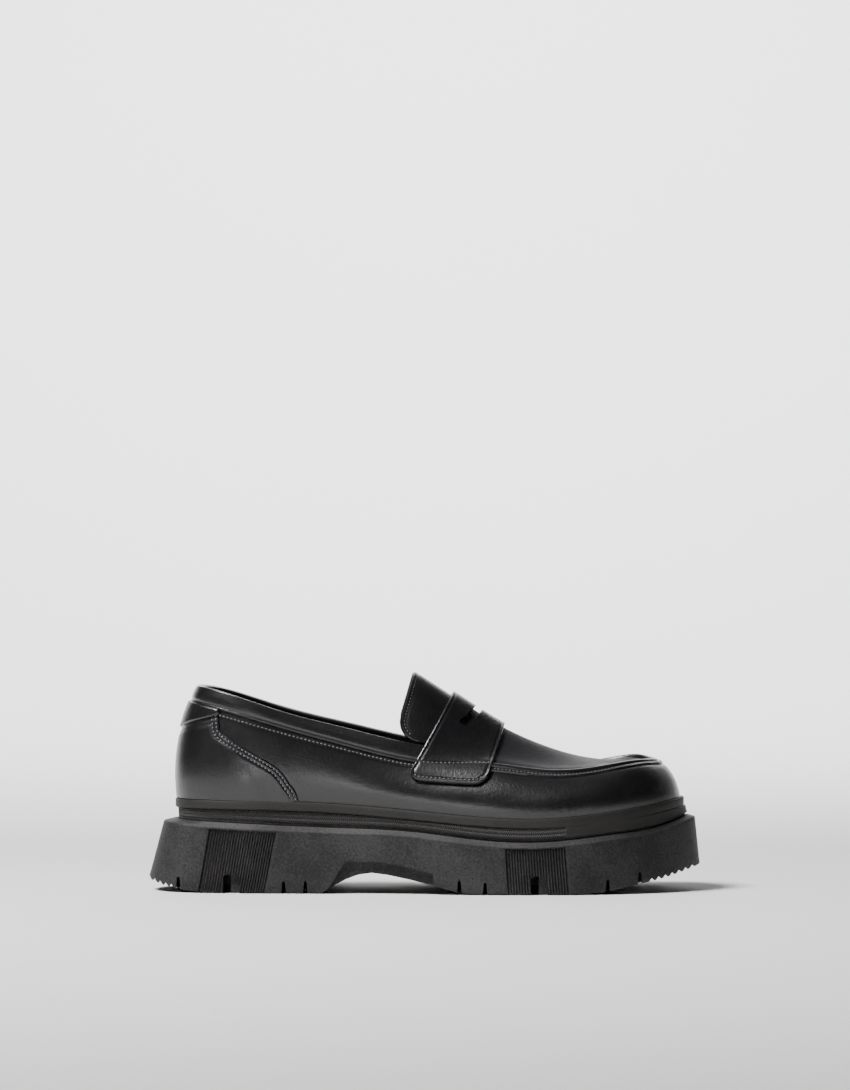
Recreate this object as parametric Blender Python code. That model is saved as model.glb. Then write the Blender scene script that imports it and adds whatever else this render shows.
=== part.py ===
"""Chunky lug-sole penny loafer, the right shoe of a pair, made of separate leather and rubber pieces.

The toe points along +X, +Z is up, and the outer side of the foot is towards -Y.
The origin is on the floor, under the middle of the shoe's box. Lengths are in metres.
"""

import bpy
import bmesh
import numpy as np

# Driving sizes of the upper
UPPER_LENGTH = 0.283  # heel to toe along the feather edge, where the upper meets the sole
BALL_WIDTH = 0.100  # across the feather edge at the ball of the foot
COLLAR_HEIGHT = 0.0672  # from the feather edge to the top of the heel's leather
WALL = 0.0020  # leather and lining together

# Driving sizes of the sole
RIM_HEIGHT = 0.0520  # floor to the top of the midsole's rim at the heel
RIM_DEPTH = 0.0058  # how far the rim stands above the feather edge
MIDSOLE_DEPTH = 0.0112  # from the rim's top down to the outsole's top at the heel
ARCH_HEIGHT = 0.0117
TOE_SPRING = 0.0140
GROOVE_HEIGHT = 0.0010
GROOVE_DEPTH = 0.0012
RIM_BEVEL = 0.0008
SHELF_BEVEL = 0.0006

# Clearances
GAP = 0.0003
RIM_GAP = 0.00035
STRAP_GAP = 0.0006
OVERLAY_GAP = 0.0004  # a little more where facets cross each other
INSOLE_GAP = 0.0009
CUT_MARGIN = 0.010  # how far a cutter reaches past what it cuts

# Leather pieces laid on the upper
OVERLAY = 0.0010  # collar band and heel counter
TAB_THICKNESS = 0.0014
STRAP_THICKNESS = 0.0020
TONGUE_THICKNESS = 0.0030
BINDING_HEIGHT = 0.0020
BINDING_WIDTH = 0.0042
RIDGE_HEIGHT = 0.0016  # raised moccasin seam round the apron
RIDGE_WIDTH = 0.0046
INSOLE_THICKNESS = 0.0045

# The sole's lugs and ribs
LUG_DEPTH = 0.0060
SLIT_WIDTH = 0.0027
SLIT_HEIGHT = 0.0068
SLIT_REACH = 0.0170
SLIT_TAPER = 0.55  # top width as a share of the foot's
WINDOW_WIDTH = 0.0094
WINDOW_HEIGHT = 0.0105
WINDOW_CORNER = 0.0010
WINDOW_TAPER = 0.70  # top of the rear side as a share of its foot
RIB_PITCH = 0.00160
RIB_DEPTH = 0.0006
TOOTH_PITCH = 0.0039
TOOTH_DEPTH = 0.0019
TOOTH_FLAT = 0.0004  # how far the comb's tips stay under the tread
CHANNEL_WIDTH = 0.0045
CHANNEL_INSET = 0.0150  # from the outsole's edge to the end of a channel
SHANK_RECESS = 0.0040
FLAT_ANGLE = 0.0005  # faces that bend less than this, in radians, become one

# Feather edge. One row for each station from the heel's middle to the toe's tip:
# along is a share of UPPER_LENGTH, outer and inner are shares of BALL_WIDTH off the centre line.
FEATHER = (
    # along, outer, inner
    (0.000, 0.000, 0.000),
    (0.021, 0.200, 0.200),
    (0.085, 0.310, 0.310),
    (0.205, 0.348, 0.342),
    (0.345, 0.378, 0.336),
    (0.480, 0.436, 0.372),
    (0.610, 0.490, 0.452),
    (0.735, 0.502, 0.498),
    (0.850, 0.434, 0.488),
    (0.935, 0.292, 0.412),
    (0.982, 0.110, 0.250),
    (1.000, -0.060, 0.060),
)

# Lines of the last above the feather edge, at the same stations.
# inset is a share of BALL_WIDTH towards the middle, rise a share of COLLAR_HEIGHT above the feather edge.
BULGE = (
    # outer inset, inner inset, outer rise, inner rise
    (-0.015, -0.015, 0.265, 0.265),
    (-0.018, -0.018, 0.260, 0.260),
    (-0.022, -0.022, 0.250, 0.250),
    (-0.022, -0.022, 0.240, 0.240),
    (-0.020, -0.024, 0.230, 0.230),
    (-0.018, -0.024, 0.220, 0.220),
    (-0.018, -0.022, 0.205, 0.200),
    (-0.016, -0.018, 0.185, 0.180),
    (-0.012, -0.012, 0.170, 0.165),
    (-0.004, -0.004, 0.155, 0.155),
    (0.006, 0.006, 0.150, 0.150),
    (0.012, 0.012, 0.150, 0.150),
)
SEAM = (
    (0.066, 0.066, 0.885, 0.885),
    (0.060, 0.060, 0.872, 0.872),
    (0.030, 0.030, 0.822, 0.822),
    (0.014, 0.010, 0.688, 0.692),
    (0.020, 0.004, 0.556, 0.562),
    (0.062, 0.030, 0.480, 0.480),
    (0.125, 0.098, 0.502, 0.485),
    (0.138, 0.122, 0.454, 0.455),
    (0.138, 0.130, 0.440, 0.448),
    (0.135, 0.135, 0.446, 0.460),
    (0.135, 0.135, 0.424, 0.432),
    (0.135, 0.135, 0.414, 0.414),
)
TOPLINE = (
    (0.104, 0.104, 1.000, 1.000),
    (0.090, 0.090, 1.002, 1.002),
    (0.052, 0.052, 0.962, 0.962),
    (0.038, 0.034, 0.812, 0.818),
    (0.052, 0.034, 0.690, 0.702),
    (0.098, 0.062, 0.612, 0.622),
    (0.230, 0.200, 0.610, 0.592),
    (0.268, 0.262, 0.535, 0.535),
    (0.240, 0.260, 0.482, 0.486),
    (0.225, 0.235, 0.448, 0.456),
    (0.220, 0.220, 0.424, 0.430),
    (0.215, 0.215, 0.415, 0.415),
)
# Top of the last: along is a share of UPPER_LENGTH, side of BALL_WIDTH, and height, from the floor,
# of COLLAR_HEIGHT
CROWN = (
    # along, side, height
    (0.100, 0.00, 2.12),
    (0.130, 0.00, 2.16),
    (0.190, 0.00, 2.20),
    (0.280, 0.00, 2.18),
    (0.390, 0.00, 2.02),
    (0.520, 0.00, 1.695),
    (0.635, 0.00, 1.385),
    (0.735, -0.01, 1.195),
    (0.810, 0.01, 1.105),
    (0.855, 0.03, 1.082),
    (0.880, 0.05, 1.080),
    (0.890, 0.06, 1.080),
)

# Side profiles of the sole. along is a share of UPPER_LENGTH, height a share of the size named with each.
RIM_PROFILE = (  # of RIM_HEIGHT
    (0.00, 1.000),
    (0.14, 0.996),
    (0.30, 0.966),
    (0.46, 0.898),
    (0.60, 0.830),
    (0.73, 0.814),
    (0.86, 0.884),
    (0.95, 0.956),
    (1.00, 1.004),
)
MIDSOLE_PROFILE = (  # of MIDSOLE_DEPTH
    (-0.02, 0.993),
    (0.08, 1.087),
    (0.30, 1.177),
    (0.46, 1.036),
    (0.60, 1.121),
    (0.73, 1.127),
    (0.86, 1.117),
    (0.95, 1.131),
    (1.02, 0.928),
)
ARCH_PROFILE = (  # of ARCH_HEIGHT, from the heel breast to the forefoot
    (0.284, 0.00),
    (0.294, 0.17),
    (0.307, 0.36),
    (0.326, 0.63),
    (0.353, 0.90),
    (0.381, 1.00),
    (0.412, 0.91),
    (0.458, 0.68),
    (0.509, 0.37),
    (0.547, 0.13),
    (0.585, 0.00),
)
SPRING_PROFILE = (  # of TOE_SPRING, past the ball
    (0.790, 0.00),
    (0.850, 0.10),
    (0.915, 0.38),
    (0.965, 0.58),
    (1.005, 0.80),
    (1.040, 1.00),
)
HEEL_BEVEL = (  # of TOE_SPRING, behind the heel's flat
    (-0.065, 0.46),
    (-0.035, 0.26),
    (0.005, 0.10),
    (0.055, 0.00),
)

# How far each outline of the sole stands outside the one above it: at the heel, the sides and the toe
RIM_LIP = (0.0029, 0.0030, 0.0018)
MIDSOLE_FOOT = (0.0025, 0.0030, 0.0037)
SHELF = (0.0069, 0.0025, 0.0043)
SHELF_DROP = (0.0018, 0.0025, 0.0024)
FLARE = (0.0086, 0.0025, 0.0028)

# Parts of the sole's side, as shares of UPPER_LENGTH
RIB_PANELS = (
    # top start, top end, bottom start, bottom end
    (0.060, 0.195, 0.037, 0.171),
    (0.646, 0.767, 0.652, 0.775),
)
SLITS = (-0.002, 0.208, 0.251, 0.556, 0.607, 0.850, 0.914)
WINDOWS = (0.104, 0.714)
SHANK_PANEL = (  # along, and height as a share of RIM_HEIGHT
    (0.284, -0.200),
    (0.284, 0.004),
    (0.295, 0.043),
    (0.331, 0.345),
    (0.393, 0.348),
    (0.432, 0.315),
    (0.504, 0.220),
    (0.508, -0.200),
)
CHANNELS = (0.055, 0.155, 0.258, 0.628, 0.680, 0.760, 0.812, 0.864)
PLAIN_COLUMNS = (6, 11, 11)  # behind, between and ahead of the rib panels
HEEL_TEETH = (-0.061, 5)  # first valley along, and how many
TOE_TEETH = (0.938, 7)

# Leather pieces: edges as shares of UPPER_LENGTH along, and of a line of the last
THROAT = 0.580
RIDGE_START = 0.012  # from the strap's front edge to the ridge's start, as a loop share
RIDGE_FADE = 0.015  # from there to its full height
COLUMN_GAP = 0.004  # least step between columns, as a loop share
ROW_GAP = 0.02  # the same between rows, as a section value
STRAP_REAR = (0.541, 1.644, 0.551)  # along and height at the crown, forward lean of the edge
STRAP_FRONT = (0.645, 1.365, 0.309)
STRAP_END = 1.42  # between the bulge and the seam
STRAP_CORNER = 0.0080
STRAP_ROWS = (1.8, 2.0, 2.3, 2.6, 3.0, 3.18, 3.3, 3.48, 3.65, 3.82)
SLOT_LENGTH = 0.043
SLOT_WIDTH = 0.0056
TONGUE_REAR = (0.467, 1.855, 0.300)
TONGUE_CORNER = 0.0140
COUNTER_FOOT = 0.42
COUNTER_EDGE = (
    # along, share of the height from the rim to the collar seam
    (0.0785, 0.97),
    (0.0805, 0.84),
    (0.0840, 0.77),
    (0.107, 0.690),
    (0.160, 0.550),
    (0.204, 0.390),
    (0.229, 0.160),
    (0.236, 0.030),
)
OVERLAY_ROWS = (0.5, 1.0, 1.2, 1.4, 1.6, 1.8, 1.9, 2.3, 2.6)
TAB_REACH = 0.078
TAB_HEIGHT = 0.0130
TAB_TOP = 0.06  # the tab's ends under the collar seam, as a section value

LEATHER = ("Calfskin", "#1b1b1d", 0.32)
LINING = ("Lining leather", "#2a2624", 0.60)
RUBBER = ("Moulded rubber", "#2b2a2a", 0.62)

FEATHER_T, BULGE_T, SEAM_T, TOPLINE_T, CROWN_T = range(5)  # section values of the last's lines


def linear(hex_colour):
    """sRGB hex text as linear red, green, blue and alpha."""
    values = [int(hex_colour[i : i + 2], 16) / 255 for i in (1, 3, 5)]
    return [v / 12.92 if v <= 0.04045 else ((v + 0.055) / 1.055) ** 2.4 for v in values] + [1]


def cubic(knots, values, at, period=None):
    """A cubic spline: natural at its ends and straight past them, or closed over period.

    The bends at the knots solve the usual three-term equations, a row of the matrix for each knot.
    """
    knots, values, at = (np.asarray(a, float) for a in (knots, values, at))
    count = len(knots)
    closed = period is not None
    steps = np.append(np.diff(knots), period - knots[-1] + knots[0]) if closed else np.diff(knots)
    matrix, right = np.eye(count), np.zeros_like(values)
    for i in range(count) if closed else range(1, count - 1):
        before, after, last_step = (i - 1) % count, (i + 1) % count, steps[i - 1]
        matrix[i] = 0
        matrix[i, before] += last_step
        matrix[i, i] += 2 * (last_step + steps[i])
        matrix[i, after] += steps[i]
        right[i] = 6 * ((values[after] - values[i]) / steps[i] - (values[i] - values[before]) / last_step)
    bends = np.linalg.solve(matrix, right)
    place = np.mod(at, period) if closed else np.clip(at, knots[0], knots[-1])
    where = np.clip(np.searchsorted(knots, place, side="right") - 1, 0, count - (1 if closed else 2))
    after = (where + 1) % count
    wide = (slice(None),) + (None,) * (values.ndim - 1)
    step = steps[where][wide]
    b = (place - knots[where])[wide] / step
    a = 1 - b
    curve = a * values[where] + b * values[after]
    curve = curve + ((a**3 - a) * bends[where] + (b**3 - b) * bends[after]) * step**2 / 6
    if closed:
        return curve
    slope = (values[after] - values[where]) / step
    slope = slope - step / 6 * ((3 * a**2 - 1) * bends[where] - (3 * b**2 - 1) * bends[after])
    return curve + slope * (at - place)[wide]


def profile(table, size, along):
    """Height of a side profile at each share along."""
    rows = np.array(table)
    return cubic(rows[:, 0], rows[:, 1], np.atleast_1d(along)) * size


def rim_height(along):
    return profile(RIM_PROFILE, RIM_HEIGHT, along)


def feather_height(along):
    return rim_height(along) - RIM_DEPTH


def seat_height(along):
    return rim_height(along) - profile(MIDSOLE_PROFILE, MIDSOLE_DEPTH, along)


def tread_height(along):
    """The underside between its lugs' feet: the heel's bevel, the arch and the toe's spring, added up."""
    along = np.atleast_1d(along)
    tables = ((HEEL_BEVEL, TOE_SPRING), (ARCH_PROFILE, ARCH_HEIGHT), (SPRING_PROFILE, TOE_SPRING))
    return sum(np.interp(along, *np.array(table).T) * size for table, size in tables)


class Last:
    """The form that the upper is drawn over: five lines round the foot, joined by smooth sections."""

    def __init__(self):
        rows = np.array(FEATHER)
        outer = np.stack([rows[:, 0] * UPPER_LENGTH, -rows[:, 1] * BALL_WIDTH], 1)
        inner = np.stack([rows[:, 0] * UPPER_LENGTH, rows[:, 2] * BALL_WIDTH], 1)
        middle = (outer * (1, -1) + inner) / 2
        steps = np.linalg.norm(np.diff(middle, axis=0), axis=1)
        self.half_length = steps.sum()
        self.knots = np.concatenate([[0], np.cumsum(steps)]) / self.half_length
        self.loop_knots = np.concatenate([self.knots, 2 - self.knots[-2:0:-1]])
        self.plan = np.concatenate([outer, inner[-2:0:-1]])
        self.lines = [self.guide(None), self.guide(BULGE), self.guide(SEAM), self.guide(TOPLINE)]
        crown = np.array(CROWN) * (UPPER_LENGTH, BALL_WIDTH, COLLAR_HEIGHT)
        self.lines.append(np.concatenate([crown, crown[-2:0:-1]]))

    def outline(self, at, out=(0, 0, 0)):
        """Plan points at loop places 0 to 2, moved outwards by the heel, side and toe amounts of out."""
        at = np.asarray(at, float)
        points = cubic(self.loop_knots, self.plan, at, 2.0)
        ahead = cubic(self.loop_knots, self.plan, at + 1e-4, 2.0)
        behind = cubic(self.loop_knots, self.plan, at - 1e-4, 2.0)
        tangent = ahead - behind
        tangent /= np.linalg.norm(tangent, axis=1)[:, None]
        normal = np.stack([tangent[:, 1], -tangent[:, 0]], 1)
        amount = blend_round(normal[:, 0], out)
        return points + normal * amount[:, None], normal

    def guide(self, table):
        """The 3-D points of one line of the last at every station, round the loop."""
        plan, normal = self.outline(self.loop_knots)
        if table is None:
            heights = feather_height(plan[:, 0] / UPPER_LENGTH) + GAP
            return np.column_stack([plan, heights])
        rows = np.array(table)
        inset = np.concatenate([rows[:, 0], rows[-2:0:-1, 1]]) * BALL_WIDTH
        rise = np.concatenate([rows[:, 2], rows[-2:0:-1, 3]]) * COLLAR_HEIGHT
        moved = plan - normal * inset[:, None]
        return np.column_stack([moved, feather_height(moved[:, 0] / UPPER_LENGTH) + rise])

    def section(self, at):
        """Nine guide points across the foot at loop place at: outer feather to crown to inner feather."""
        at = np.asarray(at, float)
        outer = [cubic(self.loop_knots, line, at, 2.0) for line in self.lines]
        inner = [cubic(self.loop_knots, line, 2 - at, 2.0) for line in self.lines[:4]]
        return np.stack(outer + inner[::-1], 1)

    def point(self, at, t):
        """Surface points at places at, 0 heel to 1 toe, and section values t, 0 outer feather to 8 inner."""
        at, t = np.broadcast_arrays(np.asarray(at, float), np.asarray(t, float))
        shape = at.shape
        at, t = at.ravel(), t.ravel()
        guides = self.section(at)
        steps = np.linalg.norm(np.diff(guides, axis=1), axis=2)
        knots = np.concatenate([np.zeros((len(at), 1)), np.cumsum(steps, axis=1)], 1)
        count = guides.shape[1]
        matrix = np.zeros((len(at), count, count))
        right = np.zeros_like(guides)
        matrix[:, 0, 0] = matrix[:, -1, -1] = 1
        for i in range(1, count - 1):
            matrix[:, i, i - 1] = steps[:, i - 1]
            matrix[:, i, i] = 2 * (steps[:, i - 1] + steps[:, i])
            matrix[:, i, i + 1] = steps[:, i]
            right[:, i] = 6 * (
                (guides[:, i + 1] - guides[:, i]) / steps[:, i, None]
                - (guides[:, i] - guides[:, i - 1]) / steps[:, i - 1, None]
            )
        bends = np.linalg.solve(matrix, right)
        left = np.clip(np.floor(t).astype(int), 0, count - 2)
        pick = np.arange(len(at))
        step = steps[pick, left][:, None]
        b = (t - left)[:, None]
        a = 1 - b
        result = a * guides[pick, left] + b * guides[pick, left + 1]
        result += ((a**3 - a) * bends[pick, left] + (b**3 - b) * bends[pick, left + 1]) * step**2 / 6
        return result.reshape(shape + (3,))

    def offset(self, at, t, out):
        """Surface points moved out along the surface normal by out."""
        at, t = np.broadcast_arrays(np.asarray(at, float), np.asarray(t, float))
        small = 1e-3
        along = self.point(np.clip(at + small, 0, 1), t) - self.point(np.clip(at - small, 0, 1), t)
        up = self.point(at, np.clip(t + small, 0, 8)) - self.point(at, np.clip(t - small, 0, 8))
        at_end = (at < small) | (at > 1 - small)
        along = np.where(at_end[..., None], across(at, t), along)
        normal = np.cross(along, up)
        normal /= np.maximum(np.linalg.norm(normal, axis=-1), 1e-12)[..., None]
        return self.point(at, t) + normal * np.asarray(out)[..., None]

    def t_at_height(self, places, heights):
        """The section value below the seam, from the feather edge up, where the wall has each height."""
        tries = np.linspace(0, SEAM_T + 0.05, 90)
        found = []
        for at, height in zip(places, heights):
            side = at > 1
            where = self.point(np.full(90, 2 - at if side else at), 8 - tries if side else tries)
            found.append(np.interp(height, where[:, 2], tries))
        return np.array(found)

    def place(self, t, test):
        """The place where test of the points on line t passes zero."""
        samples = np.linspace(0.02, 0.98, 400)
        values = test(self.point(samples, np.full_like(samples, t)))
        order = np.argsort(values)
        return float(np.interp(0.0, values[order], samples[order]))

    def place_along(self, t, along):
        return self.place(t, lambda p: p[:, 0] / UPPER_LENGTH - along)


def blend_round(nx, amounts):
    """Heel, side and toe amounts blended by how far an outline's normal points back or forward."""
    heel, side, toe = amounts
    return side + (heel - side) * np.maximum(0, -nx) ** 2 + (toe - side) * np.maximum(0, nx) ** 2


def across(at, t):
    """The direction of travel at the middle of the heel or toe, where the loop crosses the centre line."""
    outer = np.where(t < CROWN_T, 1.0, -1.0)
    sign = np.where(at < 0.5, -outer, outer)
    return np.stack([np.zeros_like(sign), sign, np.zeros_like(sign)], -1)


def material(finish):
    """A Principled material for a finish of name, colour and roughness."""
    name, colour, roughness = finish
    found = bpy.data.materials.get(name)
    if found:
        return found
    made = bpy.data.materials.new(name)
    made.use_nodes = True
    shader = made.node_tree.nodes["Principled BSDF"]
    shader.inputs["Base Color"].default_value = linear(colour)
    shader.inputs["Roughness"].default_value = roughness
    return made


def to_world(points):
    """Points measured from the feather edge's heel, moved so that the origin is under the shoe's middle."""
    return np.asarray(points, float) - (CENTRE_X, CENTRE_Y, 0)


def mesh_object(name, points, faces, finish, collection=None, merge=1e-6):
    """An object from points and faces, with doubles merged and normals turned outwards."""
    mesh = bpy.data.meshes.new(name)
    mesh.from_pydata(to_world(points).tolist(), [], faces)
    work = bmesh.new()
    work.from_mesh(mesh)
    bmesh.ops.delete(work, geom=[v for v in work.verts if not v.link_faces], context="VERTS")
    bmesh.ops.remove_doubles(work, verts=work.verts, dist=merge)
    bmesh.ops.dissolve_degenerate(work, edges=work.edges, dist=merge)
    bmesh.ops.recalc_face_normals(work, faces=work.faces)
    work.to_mesh(mesh)
    work.free()
    made = bpy.data.objects.new(name, mesh)
    (collection or SHOE).objects.link(made)
    if finish:
        mesh.materials.append(material(finish))
    return made


def grid_faces(rows, columns, keep=None):
    """Quads of a grid whose points are listed row by row."""
    faces = []
    for i in range(rows - 1):
        for j in range(columns - 1):
            if keep is None or keep(i, j):
                a = i * columns + j
                faces.append((a, a + 1, a + columns + 1, a + columns))
    return faces


def shell(name, outside, inside, finish):
    """A closed solid between two grids of the same size, with walls round their edges."""
    rows, columns = outside.shape[:2]
    count = rows * columns
    points = np.concatenate([outside.reshape(-1, 3), inside.reshape(-1, 3)])
    faces = grid_faces(rows, columns)
    faces += [tuple(v + count for v in face[::-1]) for face in grid_faces(rows, columns)]
    edge = [(i * columns, (i + 1) * columns) for i in range(rows - 1)]
    edge += [((i + 1) * columns + columns - 1, i * columns + columns - 1) for i in range(rows - 1)]
    edge += [(j + 1, j) for j in range(columns - 1)]
    edge += [((rows - 1) * columns + j, (rows - 1) * columns + j + 1) for j in range(columns - 1)]
    faces += [(a, b, b + count, a + count) for a, b in edge]
    return mesh_object(name, points, faces, finish)


def ring_solid(name, rings, finish):
    """A closed solid from plan rings in order, its ends capped by strips across the foot."""
    count = len(rings[0])
    points = np.concatenate(rings)
    faces = []
    for level in range(len(rings) - 1):
        base, above = level * count, (level + 1) * count
        for i in range(count):
            j = (i + 1) % count
            faces.append((base + i, base + j, above + j, above + i))
    for base, flip in ((0, True), ((len(rings) - 1) * count, False)):
        for i in range(count // 2):
            a, b = i, i + 1
            c, d = (count - i - 1) % count, (count - i) % count
            corners = [base + v for v in dict.fromkeys((a, b, c, d))]
            if len(corners) > 2:
                faces.append(tuple(corners[::-1] if flip else corners))
    return mesh_object(name, points, faces, finish)


def loop_places(count):
    """Places round the whole outline, evenly spaced, the same on both sides."""
    half = np.linspace(0, 1, count // 2 + 1)
    return np.concatenate([half, 2 - half[-2:0:-1]])


def station_places(last):
    """The places of every column of the upper, and the column where its throat ends."""
    throat = last.place_along(CROWN_T, THROAT)
    behind = throat * np.linspace(0, 1, 25) ** 1.3
    front = throat + (1 - throat) * (1 - (1 - np.linspace(0, 1, 17)[1:]) ** 1.15)
    return np.concatenate([behind, front]), len(behind) - 1


def make_upper(last):
    """The hollow upper with the apron's raised seam, open at the collar, the throat and underneath."""
    places, throat_column = station_places(last)
    seam_rows = [
        (FEATHER_T, 0),
        (0.5, 0),
        (BULGE_T, 0),
        (1.2, 0),
        (1.4, 0),
        (1.6, 0),
        (1.8, 0),
        (SEAM_T, -RIDGE_WIDTH / 2),
        (SEAM_T, 0),
        (SEAM_T, RIDGE_WIDTH / 2),
        (2.6, 0),
        (TOPLINE_T, 0),
        (3.3, 0),
        (3.65, 0),
    ]
    rows = seam_rows + [(CROWN_T, 0)] + [(8 - t, -d) for t, d in seam_rows[::-1]]
    guides = last.section(places)
    lengths = np.linalg.norm(np.diff(guides, axis=1), axis=2)
    grid_t = np.zeros((len(rows), len(places)))
    lift = np.zeros_like(grid_t)
    strap_front = max(strap_place(last, t, STRAP_FRONT) for t in (SEAM_T, 8 - SEAM_T))
    fade = np.clip((places - strap_front - RIDGE_START) / RIDGE_FADE, 0, 1)
    for i, (t, distance) in enumerate(rows):
        base = int(t) if distance >= 0 else int(t) - 1
        grid_t[i] = t + (distance / lengths[:, base] if distance else 0)
        if t in (SEAM_T, 8 - SEAM_T) and distance == 0:
            lift[i] = RIDGE_HEIGHT * fade
    outside = last.offset(places[None, :], grid_t, lift)
    inside = last.offset(places[None, :], grid_t, lift - WALL)
    inside[0, :, 2] = outside[0, :, 2]
    inside[-1, :, 2] = outside[-1, :, 2]
    collar_top = rows.index((TOPLINE_T, 0))
    middle = range(collar_top, len(rows) - 1 - collar_top)

    def is_leather(i, j):
        return j >= throat_column or i not in middle

    count = len(rows) * len(places)
    flat = grid_faces(len(rows), len(places), is_leather)
    uses = {}
    for face in flat:
        for a, b in zip(face, face[1:] + face[:1]):
            uses[(a, b)] = uses.get((a, b), 0) + 1
    last_column = len(places) - 1
    rims = []
    for a, b in uses:
        on_middle = a % len(places) == b % len(places) and a % len(places) in (0, last_column)
        if (b, a) not in uses and not on_middle:
            rims.append((b, a, a + count, b + count))
    faces = flat + [tuple(v + count for v in face[::-1]) for face in flat] + rims
    points = np.concatenate([outside.reshape(-1, 3), inside.reshape(-1, 3)])
    return mesh_object("upper", points, faces, LEATHER, merge=2e-5)


def make_overlay(name, last, end, low, high, thickness, corners=()):
    """A leather piece on the upper, round the heel from end to end, between low and high section values.

    It takes the upper's own columns and rows, so that both are faceted alike and the gap stays even.
    Corners are more places that get a column.
    """
    stations, _ = station_places(last)
    wanted = [at for at in corners if at < end - COLUMN_GAP]
    free = [at for at in stations if at < end - COLUMN_GAP]
    kept = [at for at in free if all(abs(at - other) > COLUMN_GAP for other in wanted)]
    half = np.sort(np.array(kept + wanted + [end]))
    places = np.concatenate([half[:0:-1], half])
    outer_side = np.arange(len(places)) < len(half) - 1
    bottom, top = low(places), high(places)
    rows = np.array([t for t in OVERLAY_ROWS if bottom.min() + ROW_GAP < t < top.max() - ROW_GAP])
    t = np.clip(np.concatenate([[0], rows, [8]])[:, None] + 0 * places, bottom, top)
    t = np.where(outer_side, t, 8 - t)
    places = places[None, :] + 0 * t
    outside = last.offset(places, t, np.full(t.shape, OVERLAY_GAP + thickness))
    inside = last.offset(places, t, np.full(t.shape, OVERLAY_GAP))
    return shell(name, outside, inside, LEATHER)


def strap_place(last, t, edge):
    """Where line t crosses the slanted plane of a strap edge."""
    along, height, lean = edge
    start_x, start_z = along * UPPER_LENGTH, height * COLLAR_HEIGHT
    return last.place(t, lambda p: p[:, 0] - start_x + lean * (start_z - p[:, 2]))


def strap_limit(last, t):
    """The last place before the strap's rear edge on line t, on both sides of the shoe."""
    return min(strap_place(last, t, STRAP_REAR), strap_place(last, 8 - t, STRAP_REAR)) - COLUMN_GAP


def make_collar_band(last):
    """The facing strip round the collar, from one end of the strap to the other."""
    end = strap_limit(last, SEAM_T)
    return make_overlay(
        "collar_band",
        last,
        end,
        lambda at: np.full(at.shape, SEAM_T + ROW_GAP),
        lambda at: np.full(at.shape, float(TOPLINE_T)),
        OVERLAY,
    )


def tab_line(last, at):
    """The lower edge of the heel tab, as section values at places round the heel."""
    tab_end = last.place_along(SEAM_T, TAB_REACH)
    drop = TAB_HEIGHT * np.clip(1 - at / tab_end, 0, 1) ** 0.7
    return SEAM_T - TAB_TOP - drop / ((SEAM[0][2] - BULGE[0][2]) * COLLAR_HEIGHT)


def make_counter(last):
    """The heel counter, with its curved front edges, under the collar seam and the heel tab."""
    edge_at, t_edge = [], []
    for along, share in COUNTER_EDGE:
        t = 1.0
        for _ in range(4):
            at = last.place_along(t, along)
            low, high = last.point(np.array([at, at]), np.array([COUNTER_FOOT, SEAM_T]))[:, 2]
            t = float(last.t_at_height([at], [low + (high - low) * share])[0])
        edge_at.append(at)
        t_edge.append(t)

    def top(at):
        cap = np.interp(at, edge_at, t_edge)
        return np.minimum(cap, tab_line(last, at) - ROW_GAP / 2)

    def foot(at):
        return np.full(at.shape, COUNTER_FOOT)

    return make_overlay("heel_counter", last, edge_at[-1], foot, top, OVERLAY, edge_at[2:-1])


def make_heel_tab(last):
    """The crescent that covers the back seam between the counter and the collar band."""
    tab_end = last.place_along(SEAM_T, TAB_REACH)
    return make_overlay(
        "heel_tab",
        last,
        tab_end,
        lambda at: tab_line(last, at),
        lambda at: np.full(at.shape, SEAM_T - ROW_GAP),
        TAB_THICKNESS,
    )


def make_binding(last):
    """The bound edge of the collar: a rounded strip along the topline, from strap to strap."""
    end = strap_limit(last, TOPLINE_T)
    stations, _ = station_places(last)
    half = np.append(stations[stations < end - COLUMN_GAP], end)
    places = np.concatenate([half[:0:-1], half])
    side = np.where(np.arange(len(places)) < len(half) - 1, -1, 1)
    t = np.where(side < 0, float(TOPLINE_T), 8.0 - TOPLINE_T)
    edge = last.point(places, t)
    outward = last.offset(places, t, np.ones(places.shape)) - edge
    above = last.point(places, t + 0.02 * np.where(side < 0, 1, -1)) - edge
    above /= np.linalg.norm(above, axis=1)[:, None]
    half = BINDING_WIDTH / 2
    centre = (OVERLAY + GAP - WALL) / 2
    ring = (
        (-1.0, GAP),
        (-1.0, BINDING_HEIGHT * 0.62),
        (-0.6, BINDING_HEIGHT),
        (0.6, BINDING_HEIGHT),
        (1.0, BINDING_HEIGHT * 0.62),
        (1.0, GAP),
    )
    loops = [edge + outward * (centre + half * o) + above * (GAP + h) for o, h in ring]
    points = np.stack(loops + [loops[0]])
    count = len(ring)
    columns = len(places)
    faces = grid_faces(count + 1, columns)
    faces = [tuple(v % (count * columns) for v in face) for face in faces]
    start = tuple(i * columns for i in range(count))
    faces += [start, tuple(v + columns - 1 for v in start)[::-1]]
    return mesh_object("collar_binding", points[:-1].reshape(-1, 3), faces, LEATHER)


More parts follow.
